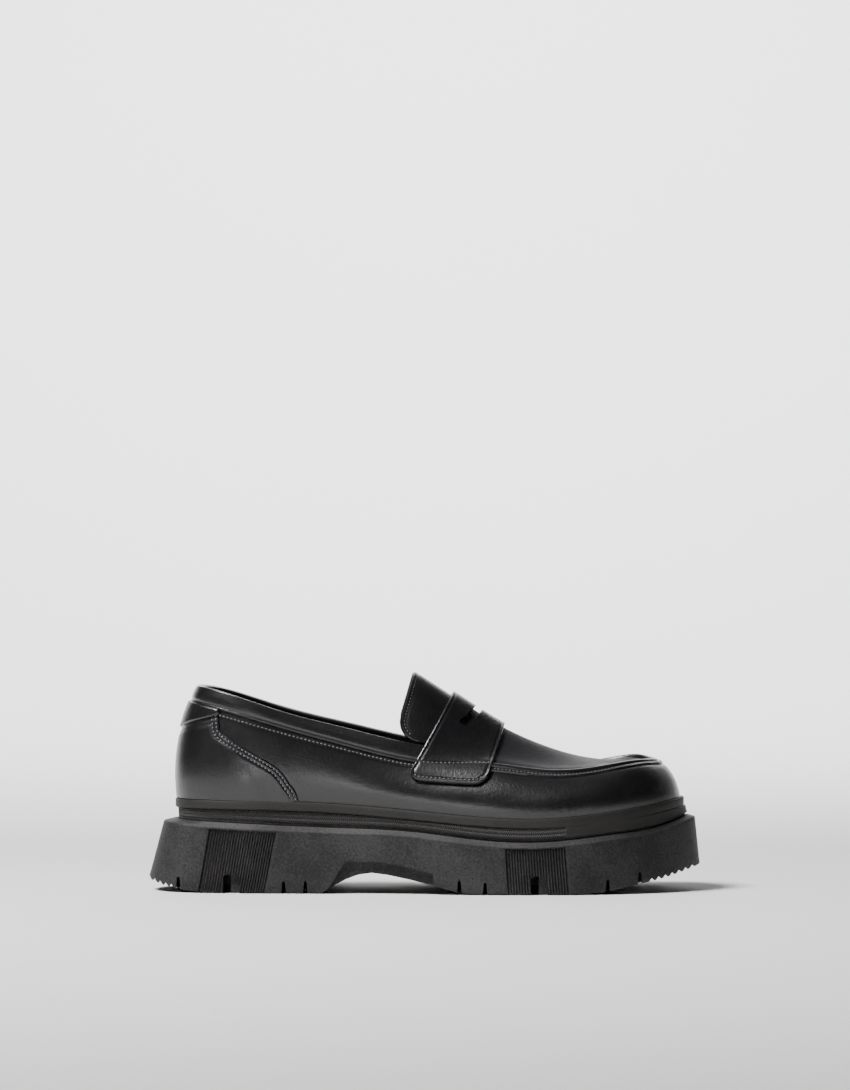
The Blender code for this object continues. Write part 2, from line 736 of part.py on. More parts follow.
def make_tongue(last):
    """The tongue, which carries the apron's line up the instep from under the strap."""
    climb = np.array([0.05, 0.12, 0.24, 0.40, 0.58, 0.80, 1.0])
    t = np.concatenate([TOPLINE_T + climb, 8 - TOPLINE_T - climb[-2::-1]])
    throat = last.place_along(CROWN_T, THROAT) - COLUMN_GAP / 2
    rear = np.array([strap_place(last, value, TONGUE_REAR) for value in t])
    rear += rounded_ends(last.point(rear, t), TONGUE_CORNER) / last.half_length
    columns = np.linspace(0, 1, 9)[None, :]
    places = rear[:, None] + (throat - rear[:, None]) * columns
    grid_t = t[:, None] + 0 * places
    outside = last.offset(places, grid_t, np.full(places.shape, -GAP))
    inside = last.offset(places, grid_t, np.full(places.shape, -GAP - TONGUE_THICKNESS))
    return shell("tongue", outside, inside, LEATHER)


def rounded_ends(path, radius):
    """How far an edge draws in at each point of path, to round a corner at both of its ends."""
    steps = np.linalg.norm(np.diff(path, axis=0), axis=1)
    travelled = np.concatenate([[0], np.cumsum(steps)])
    from_end = np.minimum(travelled, travelled[-1] - travelled)
    short = np.clip(radius - from_end, 0, None)
    return radius - np.sqrt(radius**2 - short**2)


def make_strap(last):
    """The saddle strap over the instep, with its slot, sewn down by a rounded tab on each side."""
    outer = np.concatenate([STRAP_END + np.array([0, 0.05, 0.12, 0.22]), STRAP_ROWS])
    t = np.concatenate([outer, [CROWN_T], 8 - outer[::-1]])
    rear = np.array([strap_place(last, value, STRAP_REAR) for value in t])
    front = np.array([strap_place(last, value, STRAP_FRONT) for value in t])
    middle = (rear + front) / 2
    path = last.point(middle, t)
    inset = rounded_ends(path, STRAP_CORNER)
    width = np.linalg.norm(last.point(front, t) - last.point(rear, t), axis=1)
    trim = (inset / width) * (front - rear)
    share = np.linspace(0, 1, 6)[None, :]
    places = (rear + trim)[:, None] + ((front - trim) - (rear + trim))[:, None] * share
    grid_t = t[:, None] + 0 * places
    outside = last.offset(places, grid_t, np.full(places.shape, STRAP_GAP + STRAP_THICKNESS))
    inside = last.offset(places, grid_t, np.full(places.shape, STRAP_GAP))
    strap = shell("saddle_strap", outside, inside, LEATHER)
    centre = (last.point(rear[len(outer)], CROWN_T) + last.point(front[len(outer)], CROWN_T)) / 2
    run = last.point(front[len(outer)], CROWN_T) - last.point(rear[len(outer)], CROWN_T)
    cutter = box_cutter("slot_cutter", centre, run, (SLOT_WIDTH, SLOT_LENGTH, 4 * CUT_MARGIN))
    cut(strap, cutter)
    return strap


def box_cutter(name, centre, run, size):
    """A box with its first side along run, its second across the foot."""
    length, width, height = size
    forward = np.asarray(run, float) / np.linalg.norm(run)
    side = np.array([0.0, 1.0, 0.0])
    up = np.cross(forward, side)
    corners = [
        np.asarray(centre) + forward * length / 2 * a + side * width / 2 * b + up * height / 2 * c
        for c in (-1, 1)
        for a, b in ((-1, -1), (1, -1), (1, 1), (-1, 1))
    ]
    faces = [(3, 2, 1, 0), (4, 5, 6, 7), (0, 1, 5, 4), (1, 2, 6, 5), (2, 3, 7, 6), (3, 0, 4, 7)]
    return mesh_object(name, np.array(corners), faces, None, CUTTERS)


def prism_cutter(name, outline, low, high):
    """A side-view outline of x and z points, carried across the foot from y low to y high.

    Low and high are single values, or one value for each point of the outline.
    """
    count = len(outline)
    ends = [np.broadcast_to(y, count) for y in (low, high)]
    points = [(x, y, z) for end in ends for (x, z), y in zip(outline, end)]
    faces = [tuple(range(count)), tuple(range(2 * count - 1, count - 1, -1))]
    faces += [(i, (i + 1) % count, (i + 1) % count + count, i + count) for i in range(count)]
    return mesh_object(name, np.array(points), faces, None, CUTTERS)


def cut(target, cutter):
    """Subtracts cutter from target with a Boolean."""
    cutter.hide_render = True
    cutter.display_type = "WIRE"
    modifier = target.modifiers.new("cut_" + cutter.name, "BOOLEAN")
    modifier.operation = "DIFFERENCE"
    modifier.object = cutter
    modifier.solver = "EXACT"


def make_insole(last):
    """The footbed inside the upper, lying on the midsole."""
    places = loop_places(44)
    inward = -(WALL + INSOLE_GAP)
    plan, _ = last.outline(places, (inward,) * 3)
    base = feather_height(plan[:, 0] / UPPER_LENGTH) + GAP
    rings = [np.column_stack([plan, base]), np.column_stack([plan, base + INSOLE_THICKNESS])]
    return ring_solid("insole", rings, LINING)


def make_midsole(last):
    """The midsole band with its rim, which hugs the foot of the upper."""
    stations, _ = station_places(last)
    places = np.concatenate([stations, 2 - stations[-2:0:-1]])

    def ring(out, height):
        plan, _ = last.outline(places, out)
        return np.column_stack([plan, height(plan[:, 0] / UPPER_LENGTH)])

    foot = np.array(MIDSOLE_FOOT)
    lip = np.array(RIM_LIP)
    flush = (foot + lip) / 2

    def hug(height):
        level = height(last.outline(places)[0][:, 0] / UPPER_LENGTH)
        t = last.t_at_height(places, level)
        inside = places > 1
        at, t = np.where(inside, 2 - places, places), np.where(inside, 8 - t, t)
        points = last.offset(at, t, np.full(t.shape, RIM_GAP))
        points[:, 2] = height(points[:, 0] / UPPER_LENGTH)
        return points

    bottom = seat_height
    rings = [
        ring(foot - GROOVE_DEPTH, bottom),
        ring(foot - GROOVE_DEPTH, lambda a: bottom(a) + GROOVE_HEIGHT),
        ring(foot, lambda a: bottom(a) + GROOVE_HEIGHT),
        ring(flush, feather_height),
        ring(lip, lambda a: rim_height(a) - RIM_BEVEL),
        ring(lip - RIM_BEVEL, rim_height),
        hug(rim_height),
        hug(feather_height),
    ]
    return ring_solid("midsole", rings, RUBBER)


def plain_columns(start, end, count):
    """Columns between two pairs of top and bottom places, without a groove; the end itself is left out."""
    share = np.linspace(0, 1, count + 1)[:-1]
    top, bottom = (a + (b - a) * share for a, b in zip(start, end))
    return np.stack([top, bottom, 0 * share])


def outsole_columns(last, top_out, bottom_out):
    """Loop places of the side wall's columns at its top and bottom edge, with the depth of each rib groove.

    Inside a rib panel every other column is a groove. Between the panels the columns are spread evenly.
    """
    dense = np.linspace(0, 1, 801)
    halves = []
    for loop in (dense, 2 - dense):
        top_x = last.outline(loop, top_out)[0][:, 0] / UPPER_LENGTH
        bottom_x = last.outline(loop, bottom_out)[0][:, 0] / UPPER_LENGTH
        columns, reached = [], (0, 0)
        for (start, end, low_start, low_end), count in zip(RIB_PANELS, PLAIN_COLUMNS):
            ribs = 2 * round((end - start) * UPPER_LENGTH / RIB_PITCH)
            top = np.interp(np.linspace(start, end, ribs + 1), top_x, dense)
            bottom = np.interp(np.linspace(low_start, low_end, ribs + 1), bottom_x, dense)
            columns.append(plain_columns(reached, (top[0], bottom[0]), count))
            columns.append(np.stack([top, bottom, RIB_DEPTH * (np.arange(ribs + 1) % 2)])[:, :-1])
            reached = top[-1], bottom[-1]
        columns.append(plain_columns(reached, (1, 1), PLAIN_COLUMNS[-1]))
        halves.append(np.concatenate([*columns, [[1], [1], [0]]], axis=1))
    outer, inner = halves
    inner[:2] = 2 - inner[:2]
    return np.concatenate([outer, inner[:, -2:0:-1]], axis=1)


def make_outsole(last):
    """The lugged outsole: heel and forefoot blocks, ribbed panels, arch, toe spring and tread."""
    seat_out = np.array(MIDSOLE_FOOT)
    top_out = seat_out + SHELF
    bottom_out = top_out + FLARE
    top_at, bottom_at, depth = outsole_columns(last, top_out, bottom_out)

    def seat(along):
        return seat_height(along) - GAP

    def ring(places, out, height, inward=0.0, drop=(0, 0, 0)):
        plan, normal = last.outline(places, out)
        plan = plan - normal * np.broadcast_to(inward, len(plan))[:, None]
        level = height(plan[:, 0] / UPPER_LENGTH) - blend_round(normal[:, 0], drop)
        return np.column_stack([plan, level])

    shelf_drop = np.array(SHELF_DROP)
    rings = [
        ring(bottom_at, bottom_out, tread_height, depth),
        ring(top_at, top_out, seat, depth, shelf_drop + SHELF_BEVEL),
        ring(top_at, top_out, seat, 0.0, shelf_drop),
        ring(top_at, seat_out, seat),
    ]
    outsole = ring_solid("outsole", rings, RUBBER)
    flatten(outsole)
    for cutter in sole_cutters(last, bottom_out):
        cut(outsole, cutter)
    return outsole


def flatten(target):
    """Joins faces that lie in one plane, so that cuts leave few triangles."""
    work = bmesh.new()
    work.from_mesh(target.data)
    bmesh.ops.dissolve_limit(work, angle_limit=FLAT_ANGLE, verts=work.verts, edges=work.edges)
    work.to_mesh(target.data)
    work.free()


def side_reach(last, along, out):
    """The outline's distance from the centre line on the outer and inner side at a share along."""
    dense = np.linspace(0.02, 0.98, 600)
    reach = []
    for loop in (dense, 2 - dense):
        plan, _ = last.outline(loop, out)
        reach.append(float(np.interp(along, plan[:, 0] / UPPER_LENGTH, plan[:, 1])))
    return reach


def side_cutters(name, outline, reach, depth):
    """A pair of prisms that cut into the sole's outer and inner side by depth."""
    outer, inner = reach
    return [
        prism_cutter(f"{name}_outer_cutter", outline, outer - 2 * CUT_MARGIN, outer + depth),
        prism_cutter(f"{name}_inner_cutter", outline, inner - depth, inner + 2 * CUT_MARGIN),
    ]


def sole_cutters(last, out):
    """The cutters of the tread: slits, windows, channels, saw teeth and the recess beside the shank."""
    made = []
    for number, along in enumerate(SLITS):
        x = along * UPPER_LENGTH
        low = float(tread_height(along)[0])
        half = SLIT_WIDTH / 2
        outline = [
            (x - half, low - CUT_MARGIN),
            (x + half, low - CUT_MARGIN),
            (x + half, low),
            (x + half * SLIT_TAPER, low + SLIT_HEIGHT),
            (x - half * SLIT_TAPER, low + SLIT_HEIGHT),
            (x - half, low),
        ]
        outer, inner = side_reach(last, max(along, -0.002), out)
        made += side_cutters(f"slit_{number}", outline, (outer, inner), SLIT_REACH)
    for number, along in enumerate(WINDOWS):
        x = along * UPPER_LENGTH
        half = WINDOW_WIDTH / 2
        outline = [
            (x - half, -CUT_MARGIN),
            (x + half, -CUT_MARGIN),
            (x + half, WINDOW_HEIGHT - WINDOW_CORNER),
            (x + half - WINDOW_CORNER, WINDOW_HEIGHT),
            (x - half * WINDOW_TAPER + WINDOW_CORNER, WINDOW_HEIGHT),
            (x - half * WINDOW_TAPER, WINDOW_HEIGHT - WINDOW_CORNER),
        ]
        outer, inner = side_reach(last, along, out)
        made += side_cutters(f"window_{number}", outline, (outer, inner), SLIT_REACH)
    for number, along in enumerate(CHANNELS):
        x = along * UPPER_LENGTH
        low = float(tread_height(along)[0])
        half = CHANNEL_WIDTH / 2
        top = low + LUG_DEPTH
        outline = [(x - half, -CUT_MARGIN), (x + half, -CUT_MARGIN), (x + half, top), (x - half, top)]
        outer, inner = side_reach(last, along, out)
        low_end, high_end = outer + CHANNEL_INSET, inner - CHANNEL_INSET
        made.append(prism_cutter(f"channel_{number}_cutter", outline, low_end, high_end))
    panel = [(a * UPPER_LENGTH, h * RIM_HEIGHT) for a, h in SHANK_PANEL]
    start, end = SHANK_PANEL[0][0], SHANK_PANEL[-1][0]
    ends = np.array([side_reach(last, start, out), side_reach(last, end, out)])
    share = (np.array(SHANK_PANEL)[:, 0] - start) / (end - start)
    outer, inner = (ends[0] + (ends[1] - ends[0]) * share[:, None]).T
    made += side_cutters("shank", panel, (outer, inner), SHANK_RECESS)
    for name, (start, count) in (("heel_teeth_cutter", HEEL_TEETH), ("toe_teeth_cutter", TOE_TEETH)):
        made.append(prism_cutter(name, comb(start, count), -BALL_WIDTH, BALL_WIDTH))
    return made


def comb(start, count):
    """A saw-tooth outline along the underside: valleys of TOOTH_DEPTH every TOOTH_PITCH."""
    points = []
    pitch = TOOTH_PITCH / UPPER_LENGTH
    for number in range(2 * count + 1):
        along = start + (number - 1) * pitch / 2
        depth = TOOTH_DEPTH if number % 2 else -TOOTH_FLAT
        points.append((along * UPPER_LENGTH, float(tread_height(along)[0]) + depth))
    low = min(z for _, z in points) - CUT_MARGIN
    return points + [(points[-1][0], low), (points[0][0], low)]


def clear_scene():
    """Removes every object of the open scene."""
    for thing in list(bpy.data.objects):
        bpy.data.objects.remove(thing)


def new_collection(name):
    """A collection linked to the scene."""
    made = bpy.data.collections.new(name)
    bpy.context.scene.collection.children.link(made)
    return made


def centre_of_outline(last):
    """The middle of the box round the outsole's foot, in plan."""
    out = np.array(MIDSOLE_FOOT) + SHELF + FLARE
    plan, _ = last.outline(np.linspace(0, 2, 2001), out)
    low, high = plan.min(0), plan.max(0)
    return (low + high) / 2


clear_scene()
SHOE = new_collection("Lug sole loafer")
CUTTERS = new_collection("Cutters")
LAST = Last()
CENTRE_X, CENTRE_Y = centre_of_outline(LAST)
make_outsole(LAST)
make_midsole(LAST)
make_insole(LAST)
make_upper(LAST)
make_tongue(LAST)
make_collar_band(LAST)
make_counter(LAST)
make_heel_tab(LAST)
make_binding(LAST)
make_strap(LAST)
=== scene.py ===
"""Looks of a chunky lug-sole loafer: polished leather upper, stitched overlays and a moulded rubber sole.

All lengths are in metres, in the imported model's frame: the toe points along +X, +Z is up, and the outer
side of the right foot is towards -Y. The leather is drawn over a last: five lines round the foot, given by
tables of shares of the shoe's own sizes, and joined by smooth sections.
"""

import logging
import math
from dataclasses import dataclass
from enum import Enum
from typing import Callable, Sequence

import bmesh
import bpy
import numpy as np
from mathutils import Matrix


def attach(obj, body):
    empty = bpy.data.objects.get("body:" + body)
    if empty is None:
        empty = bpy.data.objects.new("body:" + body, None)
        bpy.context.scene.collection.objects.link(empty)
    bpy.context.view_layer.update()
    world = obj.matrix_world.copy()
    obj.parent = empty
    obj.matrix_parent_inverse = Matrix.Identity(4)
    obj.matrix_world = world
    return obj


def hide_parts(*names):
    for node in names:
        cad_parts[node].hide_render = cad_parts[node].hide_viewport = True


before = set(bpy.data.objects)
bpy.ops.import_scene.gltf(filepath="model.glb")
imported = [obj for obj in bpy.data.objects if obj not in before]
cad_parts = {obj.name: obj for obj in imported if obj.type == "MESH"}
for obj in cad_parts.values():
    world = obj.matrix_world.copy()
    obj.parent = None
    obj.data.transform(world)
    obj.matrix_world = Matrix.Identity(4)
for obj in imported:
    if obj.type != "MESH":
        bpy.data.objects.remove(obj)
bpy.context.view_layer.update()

LOG = logging.getLogger("loafer")

# Driving sizes, as in the CAD model
UPPER_LENGTH = 0.283
BALL_WIDTH = 0.100
COLLAR_HEIGHT = 0.0672
WALL = 0.0020
RIM_HEIGHT = 0.0520
RIM_DEPTH = 0.0058
MIDSOLE_DEPTH = 0.0112
ARCH_HEIGHT = 0.0117
TOE_SPRING = 0.0140

# Feather edge at stations from the heel's middle to the toe's tip: along, outer and inner half width
FEATHER = (
    (0.000, 0.000, 0.000),
    (0.021, 0.200, 0.200),
    (0.085, 0.310, 0.310),
    (0.205, 0.348, 0.342),
    (0.345, 0.378, 0.336),
    (0.480, 0.436, 0.372),
    (0.610, 0.490, 0.452),
    (0.735, 0.502, 0.498),
    (0.850, 0.434, 0.488),
    (0.935, 0.292, 0.412),
    (0.982, 0.110, 0.250),
    (1.000, -0.060, 0.060),
)
# Lines above the feather edge: outer inset, inner inset, outer rise, inner rise
BULGE = (
    (-0.015, -0.015, 0.265, 0.265),
    (-0.018, -0.018, 0.260, 0.260),
    (-0.022, -0.022, 0.250, 0.250),
    (-0.022, -0.022, 0.240, 0.240),
    (-0.020, -0.024, 0.230, 0.230),
    (-0.018, -0.024, 0.220, 0.220),
    (-0.018, -0.022, 0.205, 0.200),
    (-0.016, -0.018, 0.185, 0.180),
    (-0.012, -0.012, 0.170, 0.165),
    (-0.004, -0.004, 0.155, 0.155),
    (0.006, 0.006, 0.150, 0.150),
    (0.012, 0.012, 0.150, 0.150),
)
SEAM = (
    (0.066, 0.066, 0.885, 0.885),
    (0.060, 0.060, 0.872, 0.872),
    (0.030, 0.030, 0.822, 0.822),
    (0.014, 0.010, 0.688, 0.692),
    (0.020, 0.004, 0.556, 0.562),
    (0.062, 0.030, 0.480, 0.480),
    (0.125, 0.098, 0.502, 0.485),
    (0.138, 0.122, 0.454, 0.455),
    (0.138, 0.130, 0.440, 0.448),
    (0.135, 0.135, 0.446, 0.460),
    (0.135, 0.135, 0.424, 0.432),
    (0.135, 0.135, 0.414, 0.414),
)
TOPLINE = (
    (0.104, 0.104, 1.000, 1.000),
    (0.090, 0.090, 1.002, 1.002),
    (0.052, 0.052, 0.962, 0.962),
    (0.038, 0.034, 0.812, 0.818),
    (0.052, 0.034, 0.690, 0.702),
    (0.098, 0.062, 0.612, 0.622),
    (0.230, 0.200, 0.610, 0.592),
    (0.268, 0.262, 0.535, 0.535),
    (0.240, 0.260, 0.482, 0.486),
    (0.225, 0.235, 0.448, 0.456),
    (0.220, 0.220, 0.424, 0.430),
    (0.215, 0.215, 0.415, 0.415),
)
# Top of the last: along, side, height above the floor
CROWN = (
    (0.100, 0.00, 2.12),
    (0.130, 0.00, 2.16),
    (0.190, 0.00, 2.20),
    (0.280, 0.00, 2.18),
    (0.390, 0.00, 2.02),
    (0.520, 0.00, 1.695),
    (0.635, 0.00, 1.385),
    (0.735, -0.01, 1.195),
    (0.810, 0.01, 1.105),
    (0.855, 0.03, 1.082),
    (0.880, 0.05, 1.080),
    (0.890, 0.06, 1.080),
)
# Side profiles of the sole: along, share of the named height
RIM_PROFILE = (
    (0.00, 1.000),
    (0.14, 0.996),
    (0.30, 0.966),
    (0.46, 0.898),
    (0.60, 0.830),
    (0.73, 0.814),
    (0.86, 0.884),
    (0.95, 0.956),
    (1.00, 1.004),
)
MIDSOLE_PROFILE = (
    (-0.02, 0.993),
    (0.08, 1.087),
    (0.30, 1.177),
    (0.46, 1.036),
    (0.60, 1.121),
    (0.73, 1.127),
    (0.86, 1.117),
    (0.95, 1.131),
    (1.02, 0.928),
)
ARCH_PROFILE = (
    (0.284, 0.00),
    (0.294, 0.17),
    (0.307, 0.36),
    (0.326, 0.63),
    (0.353, 0.90),
    (0.381, 1.00),
    (0.412, 0.91),
    (0.458, 0.68),
    (0.509, 0.37),
    (0.547, 0.13),
    (0.585, 0.00),
)
SPRING_PROFILE = (
    (0.790, 0.00),
    (0.850, 0.10),
    (0.915, 0.38),
    (0.965, 0.58),
    (1.005, 0.80),
    (1.040, 1.00),
)
HEEL_BEVEL = (
    (-0.065, 0.46),
    (-0.035, 0.26),
    (0.005, 0.10),
    (0.055, 0.00),
)
# How far each outline of the sole stands outside the one above it: heel, sides, toe
RIM_LIP = np.array((0.0029, 0.0030, 0.0018))
MIDSOLE_FOOT = np.array((0.0025, 0.0030, 0.0037))
SHELF = np.array((0.0069, 0.0025, 0.0043))
SHELF_DROP = np.array((0.0018, 0.0025, 0.0024))
FLARE = np.array((0.0086, 0.0025, 0.0028))
# Edges of the leather pieces
THROAT = 0.580
STRAP_REAR = (0.541, 1.644, 0.551)
STRAP_FRONT = (0.645, 1.365, 0.309)
TONGUE_REAR = (0.467, 1.855, 0.300)
TONGUE_CORNER = 0.0140
STRAP_END = 1.42
STRAP_CORNER = 0.0080
COUNTER_FOOT = 0.42
COUNTER_EDGE = (
    (0.0785, 0.97),
    (0.0805, 0.84),
    (0.0840, 0.77),
    (0.107, 0.690),
    (0.160, 0.550),
    (0.204, 0.390),
    (0.229, 0.160),
    (0.236, 0.030),
)
TAB_REACH = 0.078
TAB_HEIGHT = 0.0130
# Cuts and panels of the sole, as shares along
SLITS = (-0.002, 0.208, 0.251, 0.556, 0.607, 0.850, 0.914)
WINDOWS = (0.104, 0.714)
RIB_PANELS = (
    (0.060, 0.195, 0.037, 0.171),
    (0.646, 0.767, 0.652, 0.775),
)
SHANK_PANEL = (
    (0.284, -0.200),
    (0.284, 0.004),
    (0.295, 0.043),
    (0.331, 0.345),
    (0.393, 0.348),
    (0.432, 0.315),
    (0.504, 0.220),
    (0.508, -0.200),
)
TREAD_BARS = (0.055, 0.155, 0.258, 0.628, 0.680, 0.760, 0.812, 0.864)


class Line(float, Enum):
    """The last's lines as section values: 0 at the outer feather edge, 4 at the top, 8 at the inner one."""

    FEATHER = 0.0
    BULGE = 1.0
    SEAM = 2.0
    TOPLINE = 3.0
    CROWN = 4.0


def cubic(knots: np.ndarray, values: np.ndarray, at: np.ndarray, period: float | None = None) -> np.ndarray:
    """A cubic spline with even bending: natural at its ends, going on straight past them, or closed.

    The bends at the knots solve the usual three-term equations; between knots the curve is the chord plus
    a cubic share of the two bends.

    Args:
        knots: Rising places of the values.
        values: One row for each knot.
        at: Where the curve is read.
        period: The loop's whole length, for a closed curve.

    Returns:
        The curve's values, one row for each place.
    """
    knots, values, at = (np.asarray(a, float) for a in (knots, values, at))
    count = len(knots)
    closed = period is not None
    steps = np.append(np.diff(knots), period - knots[-1] + knots[0]) if closed else np.diff(knots)
    matrix, right = np.eye(count), np.zeros_like(values)
    for i in range(count) if closed else range(1, count - 1):
        before, after, last_step = (i - 1) % count, (i + 1) % count, steps[i - 1]
        matrix[i] = 0
        matrix[i, before] += last_step
        matrix[i, i] += 2 * (last_step + steps[i])
        matrix[i, after] += steps[i]
        right[i] = 6 * ((values[after] - values[i]) / steps[i] - (values[i] - values[before]) / last_step)
    bends = np.linalg.solve(matrix, right)
    place = np.mod(at, period) if closed else np.clip(at, knots[0], knots[-1])
    where = np.clip(np.searchsorted(knots, place, side="right") - 1, 0, count - (1 if closed else 2))
    after = (where + 1) % count
    step = steps[where]
    wide = (slice(None),) + (None,) * (values.ndim - 1)
    b = ((place - knots[where]) / step)[wide]
    a = 1 - b
    step = step[wide]
    curve = a * values[where] + b * values[after]
    curve = curve + ((a**3 - a) * bends[where] + (b**3 - b) * bends[after]) * step**2 / 6
    if closed:
        return curve
    slope = (values[after] - values[where]) / step
    slope = slope - step / 6 * ((3 * a**2 - 1) * bends[where] - (3 * b**2 - 1) * bends[after])
    return curve + slope * (at - place)[wide]


def profile(table: Sequence[Sequence[float]], size: float, along: np.ndarray) -> np.ndarray:
    """Height of a side profile at each share along: the spline of its table times the named size."""
    rows = np.array(table)
    return cubic(rows[:, 0], rows[:, 1], np.atleast_1d(along)) * size


def rim_height(along: np.ndarray) -> np.ndarray:
    """Height of the top of the midsole's rim."""
    return profile(RIM_PROFILE, RIM_HEIGHT, along)


def feather_height(along: np.ndarray) -> np.ndarray:
    """Height of the feather edge, under the rim's top."""
    return rim_height(along) - RIM_DEPTH


def seat_height(along: np.ndarray) -> np.ndarray:
    """Height of the outsole's top."""
    return rim_height(along) - profile(MIDSOLE_PROFILE, MIDSOLE_DEPTH, along)


def tread_height(along: np.ndarray) -> np.ndarray:
    """Height of the underside: the heel's bevel, the arch and the toe's spring, added up."""
    along = np.atleast_1d(along)
    tables = ((HEEL_BEVEL, TOE_SPRING), (ARCH_PROFILE, ARCH_HEIGHT), (SPRING_PROFILE, TOE_SPRING))
    return sum(np.interp(along, *np.array(table).T) * size for table, size in tables)


def smooth(value: np.ndarray, start: float, end: float) -> np.ndarray:
    """0 before start and 1 after end, along the S-curve 3s squared less 2s cubed."""
    share = np.clip((value - start) / (end - start), 0, 1)
    return share * share * (3 - 2 * share)


def blend_round(normal_x: np.ndarray, amounts: np.ndarray) -> np.ndarray:
    """Heel, side and toe amounts, blended by the square of how far the outline faces back or forward."""
    heel, side, toe = amounts
    return side + (heel - side) * np.maximum(0, -normal_x) ** 2 + (toe - side) * np.maximum(0, normal_x) ** 2


class Last:
    """The form that the leather is drawn over, read from a fine table of points, normals and arc lengths."""

    PLACES = 1401
    VALUES = 1201

    def __init__(self) -> None:
        """Builds the plan outline, the five lines, and the table of the surface between them."""
        rows = np.array(FEATHER)
        outer = np.stack([rows[:, 0] * UPPER_LENGTH, -rows[:, 1] * BALL_WIDTH], 1)
        inner = np.stack([rows[:, 0] * UPPER_LENGTH, rows[:, 2] * BALL_WIDTH], 1)
        middle = (outer * (1, -1) + inner) / 2
        steps = np.linalg.norm(np.diff(middle, axis=0), axis=1)
        self.half_length = float(steps.sum())
        knots = np.concatenate([[0], np.cumsum(steps)]) / self.half_length
        self.loop_knots = np.concatenate([knots, 2 - knots[-2:0:-1]])
        self.plan = np.concatenate([outer, inner[-2:0:-1]])
        self.shift = np.zeros(3)
        foot, _ = self.outline(np.linspace(0, 2, 2001), MIDSOLE_FOOT + SHELF + FLARE)
        self.shift = np.append((foot.min(0) + foot.max(0)) / 2, 0.0)
        crown = np.array(CROWN) * (UPPER_LENGTH, BALL_WIDTH, COLLAR_HEIGHT)
        lines = [self.guide(None), self.guide(BULGE), self.guide(SEAM), self.guide(TOPLINE)]
        lines.append(np.concatenate([crown, crown[-2:0:-1]]))
        self.fill_table(lines)

    def outline(self, at: np.ndarray, out: Sequence[float] = (0, 0, 0)) -> tuple[np.ndarray, np.ndarray]:
        """Plan points and outward normals of the feather edge at loop places 0 to 2.

        Args:
            at: Loop places: 0 at the heel's middle, 1 at the toe's tip, 2 at the heel again.
            out: Heel, side and toe amounts by which the points move outwards.

        Returns:
            Points and normals, before the shift to the frame's origin.
        """
        at = np.asarray(at, float)
        points = cubic(self.loop_knots, self.plan, at, 2.0)
        tangent = cubic(self.loop_knots, self.plan, at + 1e-4, 2.0)
        tangent = tangent - cubic(self.loop_knots, self.plan, at - 1e-4, 2.0)
        tangent /= np.linalg.norm(tangent, axis=1)[:, None]
        normal = np.stack([tangent[:, 1], -tangent[:, 0]], 1)
        return points + normal * blend_round(normal[:, 0], np.asarray(out))[:, None], normal

    def guide(self, table: Sequence[Sequence[float]] | None) -> np.ndarray:
        """The points of one line at every station: the outline moved in by inset and up by rise.

        Args:
            table: Inset and rise for each station on both sides, or none for the feather edge itself.

        Returns:
            The line's points, one for each loop knot.
        """
        plan, normal = self.outline(self.loop_knots)
        if table is None:
            return np.column_stack([plan, feather_height(plan[:, 0] / UPPER_LENGTH)])
        rows = np.array(table)
        inset = np.concatenate([rows[:, 0], rows[-2:0:-1, 1]]) * BALL_WIDTH
        rise = np.concatenate([rows[:, 2], rows[-2:0:-1, 3]]) * COLLAR_HEIGHT
        moved = plan - normal * inset[:, None]
        return np.column_stack([moved, feather_height(moved[:, 0] / UPPER_LENGTH) + rise])

    def fill_table(self, lines: list[np.ndarray]) -> None:
        """Works out the surface on a fine grid: each section is a natural cubic spline of its nine points.

        Args:
            lines: The five lines' points, from the feather edge to the crown.
        """
        at = np.linspace(0, 1, self.PLACES)
        outer = [cubic(self.loop_knots, line, at, 2.0) for line in lines]
        inner = [cubic(self.loop_knots, line, 2 - at, 2.0) for line in lines[:4]]
        guides = np.stack(outer + inner[::-1], 1)
        steps = np.linalg.norm(np.diff(guides, axis=1), axis=2)
        count = guides.shape[1]
        matrix = np.zeros((len(at), count, count))
        right = np.zeros_like(guides)
        matrix[:, 0, 0] = matrix[:, -1, -1] = 1
        for i in range(1, count - 1):
            matrix[:, i, i - 1] = steps[:, i - 1]
            matrix[:, i, i] = 2 * (steps[:, i - 1] + steps[:, i])
            matrix[:, i, i + 1] = steps[:, i]
            ahead = (guides[:, i + 1] - guides[:, i]) / steps[:, i, None]
            behind = (guides[:, i] - guides[:, i - 1]) / steps[:, i - 1, None]
            right[:, i] = 6 * (ahead - behind)
        bends = np.linalg.solve(matrix, right)
        t = np.linspace(0, 8, self.VALUES)
        left = np.clip(t.astype(int), 0, count - 2)
        b = (t - left)[None, :, None]
        a = 1 - b
        step = steps[:, left][:, :, None]
        points = a * guides[:, left] + b * guides[:, left + 1]
        points += ((a**3 - a) * bends[:, left] + (b**3 - b) * bends[:, left + 1]) * step**2 / 6
        self.points = points - self.shift
        along = np.gradient(self.points, axis=0)
        up = np.gradient(self.points, axis=1)
        sign = np.where(t < 4, -1.0, 1.0)
        along[0] = np.stack([0 * sign, sign, 0 * sign], 1)
        along[-1] = np.stack([0 * sign, -sign, 0 * sign], 1)
        normals = np.cross(along, up)
        self.normals = normals / np.maximum(np.linalg.norm(normals, axis=2), 1e-12)[:, :, None]
        length = np.linalg.norm(np.diff(self.points, axis=1), axis=2)
        self.arcs = np.concatenate([np.zeros((len(at), 1)), np.cumsum(length, axis=1)], 1)

